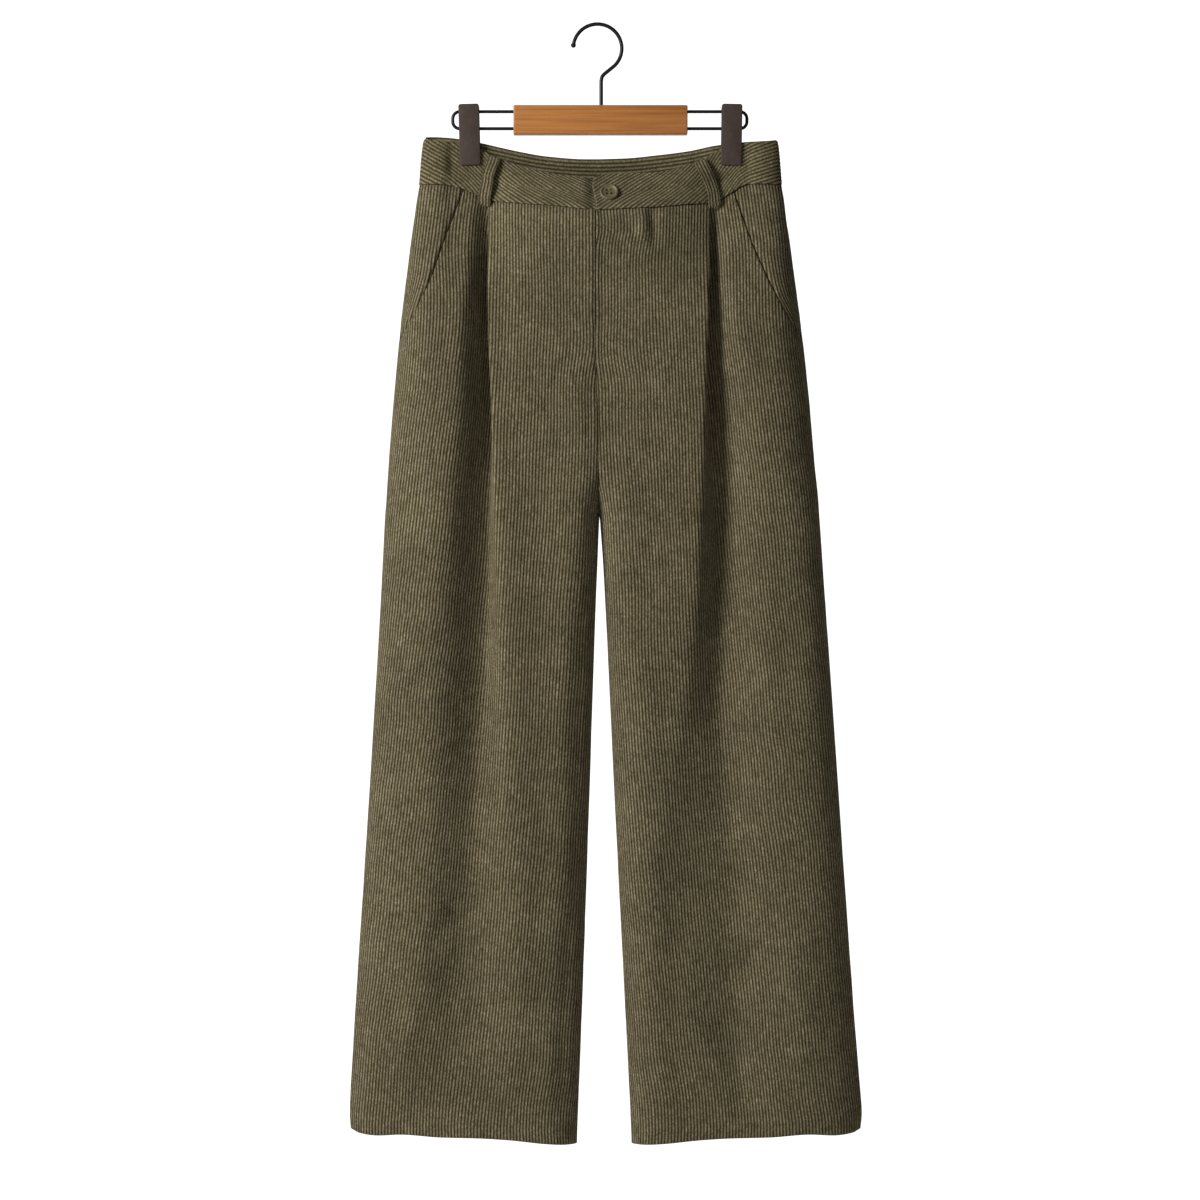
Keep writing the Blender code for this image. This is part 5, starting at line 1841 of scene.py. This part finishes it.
def bore(obj: bpy.types.Object, degrees: float, *drills: bpy.types.Object) -> None:
    """Cut the drills out of the object and remove them; edges sharper than the degrees stay sharp.

    Args:
        obj: The object to bore.
        degrees: The angle of flat_angles.
        *drills: What to cut away.
    """
    for drill in drills:
        cut = obj.modifiers.new(drill.name, "BOOLEAN")
        cut.operation = "DIFFERENCE"
        cut.solver = "EXACT"
        cut.object = drill
    realise(obj)
    for drill in drills:
        bpy.data.objects.remove(drill)
    flat_angles(obj, degrees)


def rods(name: str, ends: Sequence[tuple], radius: float, sides: int = 32) -> bpy.types.Object:
    """Round rods, each from one point to another.

    Args:
        name: The object's name.
        ends: The start and end of each rod in millimetres.
        radius: Their radius.
        sides: How many sides each is drawn with.

    Returns:
        The object, which holds them all.
    """
    mesh = bpy.data.meshes.new(name)
    with edited(mesh) as bm:
        for start, end in ends:
            start, end = Vector(start) * MM, Vector(end) * MM
            turn = (end - start).to_track_quat("Z", "Y").to_matrix().to_4x4()
            bmesh.ops.create_cone(
                bm,
                cap_ends=True,
                segments=sides,
                radius1=radius * MM,
                radius2=radius * MM,
                depth=(end - start).length,
                matrix=Matrix.Translation((start + end) / 2) @ turn,
            )
    return linked(name, mesh)


def tubes(name: str, paths: Sequence[Sequence[tuple]], radius: float, sides: int = 24) -> bpy.types.Object:
    """Round wires along paths, with closed ends.

    Args:
        name: The object's name.
        paths: Each wire's points in millimetres.
        radius: The wires' radius.
        sides: How many sides they are drawn with.

    Returns:
        The object, which holds them all.
    """
    points, faces = [], []
    turns = np.linspace(0, 2 * math.pi, sides, endpoint=False)[:, None]
    for path in paths:
        path = np.array(path, float)
        along = unit(np.gradient(path, axis=0))
        # The ring starts off a line that is a little askew, so that no wire runs along it
        side = unit(np.cross(along, (0.0, 1.0, 0.02)))
        up = np.cross(side, along)
        ring = side[:, None] * np.cos(turns) + up[:, None] * np.sin(turns)
        start = len(points)
        points.extend((path[:, None] + ring * radius).reshape(-1, 3))
        for k in range(len(path) - 1):
            for s in range(sides):
                a, b = start + k * sides + s, start + k * sides + (s + 1) % sides
                faces.append((a, b, b + sides, a + sides))
        faces.append(tuple(range(start, start + sides))[::-1])
        faces.append(tuple(range(len(points) - sides, len(points))))
    mesh = bpy.data.meshes.new(name)
    mesh.from_pydata((np.array(points) * MM).tolist(), [], faces)
    mesh.shade_smooth()
    with edited(mesh) as bm:
        bmesh.ops.recalc_face_normals(bm, faces=bm.faces)
    return linked(name, mesh)


@dataclass
class HangerHook:
    """The bent wire that hangs on the rail, with a ball at its tip."""

    steps: int = 72
    neck_steps: int = 24
    ball_sides: tuple[int, int] = (32, 18)
    sharp: float = 50.0  # degrees, as flat_angles takes them

    def build(self, metal: bpy.types.Material) -> None:
        """Bend the wire and add the ball.

        Args:
            metal: The wire's finish.
        """
        centre = HOOK_WIRE / 2 - HOOK_RADIUS
        angles = np.radians(np.linspace(*HOOK_ANGLES, self.steps))
        path = [(HOOK_RADIUS * math.cos(a), 0.0, centre + HOOK_RADIUS * math.sin(a)) for a in angles]
        tip = Matrix.Translation(Vector(path[0]) * MM)
        ease = np.linspace(0, len(HOOK_NECK) - 1, self.neck_steps)
        xs, zs = (smooth_curve(np.arange(len(HOOK_NECK)), part, ease) for part in zip(*HOOK_NECK))
        path += [(HOOK_FOOT_X + x, 0.0, z) for x, z in zip(xs, zs)]
        path.append((HOOK_FOOT_X, 0.0, BAR_TOP - HOOK_SOCKET_DEPTH))
        hook = tubes("hanger_hook", [path], HOOK_WIRE / 2)
        with edited(hook.data) as bm:
            round_sides, high_sides = self.ball_sides
            bmesh.ops.create_uvsphere(
                bm,
                u_segments=round_sides,
                v_segments=high_sides,
                radius=HOOK_BALL / 2 * MM,
                matrix=tip,
            )
        hook.data.shade_smooth()
        flat_angles(hook, self.sharp)
        dress(hook, metal)
        seat(hook, "hanger_wire", "hook")


@dataclass
class HangerBar:
    """The flat wooden bar, bored for the hook and the two wire loops."""

    edge: float = 1.2
    sharp: float = 30.0

    def build(self, wood: bpy.types.Material) -> None:
        """Saw the bar, round its edges and bore it.

        Args:
            wood: The bar's finish.
        """
        bar = box("hanger_bar", BAR_CENTRE, BAR_SIZE, self.edge)
        ends = []
        for side in (-1, 1):
            face = BAR_CENTRE[0] + side * BAR_SIZE[0] / 2
            root = face - side * (SOCKET_DEPTH + SEAM_GAP)
            ends += [((face + side * CUTTER_PAST, 0, -drop), (root, 0, -drop)) for drop in WIRE_DROPS]
        mouth, foot = BAR_TOP + CUTTER_PAST, BAR_TOP - HOOK_SOCKET_DEPTH - SEAM_GAP
        upright = [((HOOK_FOOT_X, 0, mouth), (HOOK_FOOT_X, 0, foot))]
        loop_sockets = rods("loop_sockets", ends, LOOP_WIRE / 2 + SEAM_GAP)
        hook_socket = rods("hook_socket", upright, HOOK_WIRE / 2 + SEAM_GAP)
        bore(bar, self.sharp, loop_sockets, hook_socket)
        dress(bar, wood)
        seat(bar, "wood", "wooden_bar")


def box(name: str, centre: Sequence[float], size: Sequence[float], edge: float) -> bpy.types.Object:
    """A block with rounded edges.

    Args:
        name: The object's name.
        centre: Its centre in millimetres.
        size: Its size.
        edge: The radius of its edges.

    Returns:
        The object.
    """
    mesh = bpy.data.meshes.new(name)
    place = Matrix.Translation(Vector(centre) * MM) @ Matrix.Diagonal((*(s * MM for s in size), 1))
    with edited(mesh) as bm:
        bmesh.ops.create_cube(bm, size=1.0, matrix=place)
        bmesh.ops.bevel(bm, geom=bm.edges[:], offset=edge * MM, segments=4, profile=0.5, affect="EDGES")
    return linked(name, mesh)


@dataclass
class WireLoops:
    """The two long wire loops that the clips slide on."""

    bends: int = 24
    straight_steps: int = 12
    sharp: float = 50.0

    def build(self, metal: bpy.types.Material) -> None:
        """Bend the two loops.

        Args:
            metal: The wire's finish.
        """
        upper, lower = WIRE_DROPS
        angles = np.linspace(0, math.pi / 2, self.bends)
        corner = [(WIRE_CORNER * math.sin(a), WIRE_CORNER * math.cos(a)) for a in angles]
        for name, end in WIRE_ENDS_X.items():
            side = math.copysign(1, end)
            root = BAR_CENTRE[0] + side * (BAR_SIZE[0] / 2 - SOCKET_DEPTH)
            turn = end - side * WIRE_CORNER
            straight = np.linspace(root, turn, self.straight_steps)[:-1]
            path = [(x, 0, -upper) for x in straight]
            path += [(turn + side * sine, 0, -upper - WIRE_CORNER + cosine) for sine, cosine in corner]
            path += [(turn + side * cosine, 0, -lower + WIRE_CORNER - sine) for sine, cosine in corner]
            path += [(x, 0, -lower) for x in straight[::-1]]
            loop = tubes(f"hanger_wire_{name}", [path], LOOP_WIRE / 2)
            flat_angles(loop, self.sharp)
            dress(loop, metal)
            seat(loop, "hanger_wire", f"wire_loop_{name}")


@dataclass
class Clips:
    """Two clips, each of two plates that pinch the waistband below a saddle on the wires."""

    bevel: float = 0.7
    corner_steps: int = 10
    saddle_edge: float = 0.5
    jaw_sharp: float = 40.0
    saddle_sharp: float = 30.0
    bevelled_from: float = 60.0  # an edge of a jaw that turns by more degrees is softened

    def plate(self, name: str, place: Matrix) -> bpy.types.Object:
        """A jaw: a plate with round corners and softened edges.

        Args:
            name: The object's name.
            place: Where its middle lies, with its width along X and its thickness along Z.

        Returns:
            The object.
        """
        width, thick, height = JAW_SIZE
        mesh = bpy.data.meshes.new(name)
        with edited(mesh) as bm:
            outline = []
            for k, (sx, sz) in enumerate(((1, 1), (-1, 1), (-1, -1), (1, -1))):
                for angle in np.linspace(k * math.pi / 2, (k + 1) * math.pi / 2, self.corner_steps):
                    x = sx * (width / 2 - JAW_CORNER) + JAW_CORNER * math.cos(angle)
                    z = sz * (height / 2 - JAW_CORNER) + JAW_CORNER * math.sin(angle)
                    outline.append(bm.verts.new((x * MM, z * MM, -thick / 2 * MM)))
            raised = bmesh.ops.extrude_face_region(bm, geom=[bm.faces.new(outline)])["geom"]
            moved = [v for v in raised if isinstance(v, bmesh.types.BMVert)]
            bmesh.ops.translate(bm, verts=moved, vec=(0, 0, thick * MM))
            bmesh.ops.recalc_face_normals(bm, faces=bm.faces)
            sharp = [e for e in bm.edges if e.calc_face_angle(0.0) > math.radians(self.bevelled_from)]
            bmesh.ops.bevel(bm, geom=sharp, offset=self.bevel * MM, segments=3, profile=0.5, affect="EDGES")
        plate = linked(name, mesh)
        mesh.transform(place)
        mesh.shade_smooth()
        flat_angles(plate, self.jaw_sharp)
        return plate

    def build(self, plastic: bpy.types.Material, metal: bpy.types.Material) -> None:
        """Mould the jaws and saddles.

        Args:
            plastic: The jaws' finish.
            metal: The saddles' finish.
        """
        half = SADDLE_SIZE[0] / 2 + CUTTER_PAST
        for name, (x, lean) in JAWS.items():
            turn = Matrix.Rotation(math.radians(-lean), 4, "Y") @ Matrix.Rotation(math.pi / 2, 4, "X")
            for face in Face:
                middle = Vector((x, face.value * (GRIP + JAW_SIZE[1] / 2), -JAW_DROP))
                jaw = self.plate(f"jaw_{name}_{face.word}", Matrix.Translation(middle * MM) @ turn)
                dress(jaw, plastic)
                seat(jaw, "clip", f"clip_{name}_{face.word}_jaw")
            saddle = box(f"saddle_{name}", (x, 0, -SADDLE_DROP), SADDLE_SIZE, self.saddle_edge)
            ends = [((x - half, 0, -drop), (x + half, 0, -drop)) for drop in WIRE_DROPS]
            drill = rods(f"saddle_{name}_bores", ends, LOOP_WIRE / 2 + SEAM_GAP)
            bore(saddle, self.saddle_sharp, drill)
            dress(saddle, metal)
            seat(saddle, "hanger_wire", f"clip_{name}_saddle")


def linear(colour: str) -> tuple[float, float, float, float]:
    """A scene-linear RGBA value from an sRGB hex colour."""
    parts = [int(colour[k : k + 2], 16) / 255 for k in (1, 3, 5)]
    return (*(c / 12.92 if c <= 0.04045 else ((c + 0.055) / 1.055) ** 2.4 for c in parts), 1.0)


@dataclass
class Shader:
    """A material being wired: it adds nodes and keeps its Principled shader."""

    name: str

    def __post_init__(self) -> None:
        """Start the material with an empty tree, its shader and its output."""
        self.material = bpy.data.materials.new(self.name)
        self.material.use_nodes = True
        self.tree = self.material.node_tree
        self.tree.nodes.clear()
        self.surface = self.add("ShaderNodeBsdfPrincipled", {})
        self.add("ShaderNodeOutputMaterial", {}, (0, self.surface.outputs[0]))

    def add(self, kind: str, settings: dict, *inputs: tuple) -> bpy.types.Node:
        """Add one node with its settings and links."""
        return node_step(self.tree, kind, settings, *inputs)

    def math(self, operation: str, *values: object) -> bpy.types.NodeSocket:
        """The result of one arithmetic node."""
        return self.add("ShaderNodeMath", {"operation": operation}, *enumerate(values)).outputs[0]

    def noise(self, size: float, detail: float = 2.0, stretch: tuple = (1, 1, 1)) -> bpy.types.NodeSocket:
        """Soft random spots over the piece.

        Args:
            size: About how far apart they lie, in millimetres.
            detail: How many finer layers are added.
            stretch: How many times longer they are along each axis.

        Returns:
            The noise, from 0 to 1.
        """
        scale = tuple(1 / (size * MM * s) for s in stretch)
        where = self.add("ShaderNodeTexCoord", {}).outputs["Object"]
        spread = self.add("ShaderNodeMapping", {}, (0, where), (3, scale))
        spots = self.add("ShaderNodeTexNoise", {}, (0, spread.outputs[0]), (2, 1.0), (3, detail))
        return spots.outputs[0]

    def ramp(self, value: bpy.types.NodeSocket, *stops: tuple) -> bpy.types.NodeSocket:
        """A colour from stops along the value: each a place with a hex colour, a grey level or an RGB.

        Args:
            value: The value that is looked up.
            *stops: The places and colours, in rising order.

        Returns:
            The colour.
        """
        node = self.add("ShaderNodeValToRGB", {}, (0, value))
        band = node.color_ramp.elements
        while len(band) < len(stops):
            band.new(0.5)
        for element, (at, colour) in zip(band, stops):
            element.position = at
            if isinstance(colour, str):
                element.color = linear(colour)
            else:
                element.color = (*(colour if isinstance(colour, tuple) else (colour,) * 3), 1)
        return node.outputs[0]

    def mix(self, share: object, first: object, second: object, how: str = "MIX") -> bpy.types.NodeSocket:
        """Two colours mixed by a share, or combined as a blend mode says."""
        settings = {"data_type": "RGBA", "blend_type": how}
        return self.add("ShaderNodeMix", settings, (0, share), (6, first), (7, second)).outputs[2]

    def tint(self, colour: object, value: bpy.types.NodeSocket, *stops: tuple) -> bpy.types.NodeSocket:
        """The colour made darker or paler by a ramp along the value."""
        return self.mix(1.0, colour, self.ramp(value, *stops), "MULTIPLY")

    def bump(self, height: bpy.types.NodeSocket, depth: float) -> None:
        """Raise the surface by the height, at most this many millimetres."""
        raised = self.add("ShaderNodeBump", {}, ("Distance", depth * MM), ("Height", height))
        self.tree.links.new(raised.outputs[0], self.surface.inputs["Normal"])

    def plug(self, **inputs: object) -> None:
        """Give the Principled shader its inputs, by their own names with _ for a space."""
        sockets = {socket.name.lower().replace(" ", "_"): socket for socket in self.surface.inputs}
        for name, value in inputs.items():
            if isinstance(value, bpy.types.NodeSocket):
                self.tree.links.new(value, sockets[name])
            else:
                sockets[name].default_value = value


@dataclass(frozen=True)
class Corduroy:
    """Washed cotton corduroy, garment dyed: matte pile, with a painted highlight on each rib's top and
    painted shade on its flanks and in its dark floors.
    """

    # The colours across a rib: floor is the ground weave's own darker colour deepened by painted shade in the
    # groove, flank is painted shade on the rib's sides, pile is the rib's own colour, and worn is a painted
    # highlight on the rib's top
    floor: str = "#322a17"
    flank: str = "#4a422b"
    pile: str = "#686049"
    worn: str = "#7a735e"
    plain: str = "#464028"
    pitch: float = 3.2
    fray: float = 0.62  # how far a rib's edges stray
    rib_step: float = 3.71  # from one rib's place in the noise to the next, so that no two drift alike
    drift_length: float = 9.0

    def ribbed(self, name: str = "washed_cotton_corduroy") -> bpy.types.Material:
        """The face: ribs of pile with a tighter, darker floor between them, with painted shade on the flanks
        and floors and a painted highlight on the tops.

        Args:
            name: The material's name.

        Returns:
            The material.
        """
        shader = Shader(name)
        woven = shader.add("ShaderNodeUVMap", {"uv_map": WEAVE_MAP})
        place = shader.add("ShaderNodeSeparateXYZ", {}, (0, woven.outputs[0])).outputs
        frayed = shader.math("MULTIPLY_ADD", shader.noise(1.4), self.fray * MM, place[0])
        count = shader.math("DIVIDE", shader.math("ADD", frayed, -self.fray / 2 * MM), self.pitch * MM)
        middle = shader.math("ABSOLUTE", shader.math("SUBTRACT", shader.math("FRACT", count), 0.5))
        # Painted light and shade across each rib: the floors are darkened past their own colour as painted
        # shade in the grooves, which gives the eye the fine upright lines, and the paler top is a painted
        # highlight that gives the pile its roundness
        rib_colours_and_painted_shade = [(0.0, self.worn), (0.14, self.pile), (0.33, self.flank), (0.44, self.floor)]
        colour = shader.ramp(middle, *rib_colours_and_painted_shade, (0.5, self.floor))
        # Each rib has its own tone, which drifts along it, so the eye doesn't read a printed stripe
        own = shader.math("MULTIPLY", shader.math("FLOOR", count), self.rib_step)
        lengthwise = shader.math("DIVIDE", place[1], self.drift_length * MM)
        spot = shader.add("ShaderNodeCombineXYZ", {}, (0, own), (1, lengthwise)).outputs[0]
        drift = shader.add("ShaderNodeTexNoise", {}, (0, spot), (2, 1.0), (3, 2.0)).outputs[0]
        colour = shader.tint(colour, drift, (0.2, (0.72, 0.71, 0.64)), (0.5, 1.0), (0.8, (1.28, 1.29, 1.4)))
        # Pile that lies differently from place to place shows as soft clouds and short pale flecks
        clouds = shader.noise(11.0, 3.0, (1.5, 1.0, 1.0))
        colour = shader.tint(colour, clouds, (0.25, 0.86), (0.5, 1.0), (0.75, 1.14))
        flecks = shader.noise(1.4, 3.0, (1, 1, 1.6))
        pale = (0.75, (1.6, 1.62, 1.84))
        colour = shader.tint(colour, flecks, (0.25, (0.5, 0.48, 0.38)), (0.5, 0.96), pale)
        colour = shader.tint(colour, shader.noise(60.0, 1.0), (0.3, 0.9), (0.7, 1.1))
        shader.plug(base_color=colour, roughness=0.95, specular_ior_level=0.1)
        shader.plug(sheen_weight=0.2, sheen_roughness=0.5, sheen_tint=linear("#b3ad99"))
        shader.bump(shader.noise(0.9, 3.0, (1, 1, 1.8)), 0.3)
        return shader.material

    def back(self) -> bpy.types.Material:
        """The plain woven back of the cloth.

        Returns:
            The material.
        """
        shader = Shader("corduroy_back")
        colour = shader.tint(linear(self.plain), shader.noise(1.0, 2.0), (0.2, 0.8), (0.8, 1.15))
        shader.plug(base_color=colour, roughness=0.95, specular_ior_level=0.12)
        shader.bump(shader.noise(0.7, 2.0), 0.15)
        return shader.material


@dataclass(frozen=True)
class Hardware:
    """What the hanger, the button and the thread are made of."""

    wood_pale: str = "#ad7136"
    wood_dark: str = "#8c5423"
    wood_pore: str = "#6b421c"
    wire: str = "#1d1b1a"
    clip: str = "#3f332c"
    clip_dark: str = "#382d27"
    horn_dark: str = "#4e4530"
    horn_pale: str = "#6d6349"
    thread: str = "#5a523c"
    # near-black, so that the thread down in the button's holes stands in for their shade: painted shade
    button_thread: str = "#231e14"

    def wood(self) -> bpy.types.Material:
        """Oiled beech: long level grain with short dark pores.

        Returns:
            The material.
        """
        shader = Shader("oiled_beech")
        grain = shader.noise(3.2, 4.0, (26, 3, 0.8))
        colour = shader.ramp(grain, (0.25, self.wood_dark), (0.75, self.wood_pale))
        pores = shader.ramp(shader.noise(0.7, 1.0, (9, 2, 0.7)), (0.27, 0.0), (0.36, 1.0))
        colour = shader.mix(pores, shader.mix(0.5, colour, linear(self.wood_pore)), colour)
        shader.plug(base_color=colour, roughness=0.42, specular_ior_level=0.4)
        shader.bump(grain, 0.05)
        return shader.material

    def blackened(self) -> bpy.types.Material:
        """Blackened steel wire: dark, with a broad soft glint."""
        shader = Shader("blackened_steel")
        shader.plug(base_color=linear(self.wire), metallic=0.6, roughness=0.42)
        return shader.material

    def plastic(self) -> bpy.types.Material:
        """Moulded nylon: matte brown with a fine grain.

        Returns:
            The material.
        """
        shader = Shader("moulded_nylon")
        colour = shader.ramp(shader.noise(5.0, 2.0), (0.3, self.clip_dark), (0.7, self.clip))
        shader.plug(base_color=colour, roughness=0.6, specular_ior_level=0.25)
        shader.bump(shader.noise(0.6, 1.0), 0.04)
        return shader.material

    def horn(self) -> bpy.types.Material:
        """Imitation horn: clouded olive brown under a low polish.

        Returns:
            The material.
        """
        shader = Shader("imitation_horn")
        clouds = shader.noise(4.5, 3.0, (1.6, 1, 1))
        colour = shader.ramp(clouds, (0.3, self.horn_dark), (0.7, self.horn_pale))
        shader.plug(base_color=colour, roughness=0.5, specular_ior_level=0.3)
        return shader.material

    def sewing_thread(self, name: str, colour: str) -> bpy.types.Material:
        """Spun polyester thread: matte, with its twist as fine bumps.

        Args:
            name: The material's name.
            colour: Its colour.

        Returns:
            The material.
        """
        shader = Shader(name)
        shader.plug(base_color=linear(colour), roughness=0.85, specular_ior_level=0.2)
        shader.bump(shader.noise(0.35, 1.0), 0.05)
        return shader.material


@dataclass
class Studio:
    """A pale wall and floor, a soft light from the upper left and a camera straight in front."""

    centre: tuple[float, float, float] = (0.0025, 0.0, -0.574)
    distance: float = 3.5
    lens: float = 105.0
    paper: str = "#f6f5f3"
    reach: float = 4.0  # how far the wall and the floor run to either side, and the floor forwards
    wall_behind: float = 4.6
    wall_heights: tuple[float, float] = (-2.2, 3.0)
    wall_glow: float = 1.0  # the paper is lit from behind, so that it stays pale round the piece
    floor_below: float = 1.26
    floor_behind: float = 0.45
    # Each light's place from the piece's centre, the side of its face in metres and its power in watts
    key: tuple[tuple[float, ...], float, float] = ((-1.9, -1.45, 1.0), 0.8, 82.0)
    fill: tuple[tuple[float, ...], float, float] = ((0.9, -2.8, 0.3), 1.6, 7.0)
    around: str = "#f4f6fa"
    around_strength: float = 0.07

    def backdrop(self) -> None:
        """The pale floor, and the pale wall far behind the piece, which glows so that it stays even."""
        plain, lit = Shader("matte_white_paper"), Shader("lit_white_paper")
        for shader in (plain, lit):
            shader.plug(base_color=linear(self.paper), roughness=0.9, specular_ior_level=0.1)
        lit.plug(emission_color=linear("#ffffff"), emission_strength=self.wall_glow)
        wide, far, low = self.reach, self.wall_behind, -self.floor_below
        foot, head = self.wall_heights
        wall = [(-wide, far, foot), (wide, far, foot), (wide, far, head), (-wide, far, head)]
        near, behind = -self.reach, self.floor_behind
        floor = [(-wide, near, low), (wide, near, low), (wide, behind, low), (-wide, behind, low)]
        for name, corners, finish in (("wall", wall, lit), ("floor", floor, plain)):
            mesh = bpy.data.meshes.new(name)
            mesh.from_pydata(corners, [], [(0, 1, 2, 3)])
            obj = linked(name, mesh)
            dress(obj, finish.material)

    def light(self, name: str, place: tuple[float, ...], size: float, power: float) -> None:
        """A square soft light aimed at the piece.

        Args:
            name: The light's name.
            place: Where it stands, from the piece's centre.
            size: The side of its face in metres.
            power: Its power in watts.
        """
        lamp = bpy.data.lights.new(name, "AREA")
        lamp.shape = "SQUARE"
        lamp.size = size
        lamp.energy = power
        obj = linked(name, lamp)
        aim = Vector(place)
        obj.location = Vector(self.centre) + aim
        obj.rotation_euler = aim.to_track_quat("Z", "Y").to_euler()

    def build(self) -> None:
        """Set the scene: backdrop, lights, surroundings and camera."""
        self.backdrop()
        self.light("key", *self.key)
        self.light("fill", *self.fill)
        scene = bpy.context.scene
        scene.view_settings.view_transform = "Standard"
        scene.world = bpy.data.worlds.new("studio")
        scene.world.use_nodes = True
        around = scene.world.node_tree.nodes["Background"].inputs
        around[0].default_value = linear(self.around)
        around[1].default_value = self.around_strength
        camera = bpy.data.cameras.new("camera")
        camera.lens = self.lens
        camera.sensor_width = 36.0
        camera.clip_start, camera.clip_end = 0.1, 30.0
        scene.camera = linked("camera", camera)
        scene.camera.location = Vector(self.centre) + Vector((0, -self.distance, 0))
        scene.camera.rotation_euler = (math.pi / 2, 0, 0)


def main() -> None:
    """Build the trousers, the hanger and the studio, and seat the pieces on the part's body."""
    logging.basicConfig(level=logging.INFO, format="%(message)s")
    cloth, hardware = Corduroy(), Hardware()
    ribbed, plain = cloth.ribbed(), cloth.back()
    # The band's ribs lie on the cross, flattened by its lining, so their floors show less: its painted groove
    # shade and painted rib-top highlight are weaker
    band = Corduroy(floor="#352d1a", flank="#4c442c", pile="#676048", worn="#787159").ribbed("lined_corduroy")
    thread = hardware.sewing_thread("spun_thread", hardware.thread)
    button_thread = hardware.sewing_thread("button_thread", hardware.button_thread)
    black, wood = hardware.blackened(), hardware.wood()

    Panels().build(ribbed, plain)
    PocketFacings().build(ribbed, plain)
    Waistband().build(band, plain)
    loops = BeltLoops()
    loops.build(ribbed, plain)
    Stitches().build([*fly_seams(), *loop_seams(loops)], thread)
    Button().build(hardware.horn(), button_thread)
    HangerHook().build(black)
    HangerBar().build(wood)
    WireLoops().build(black)
    Clips().build(hardware.plastic(), black)
    Studio().build()


if __name__ == "__main__":
    main()
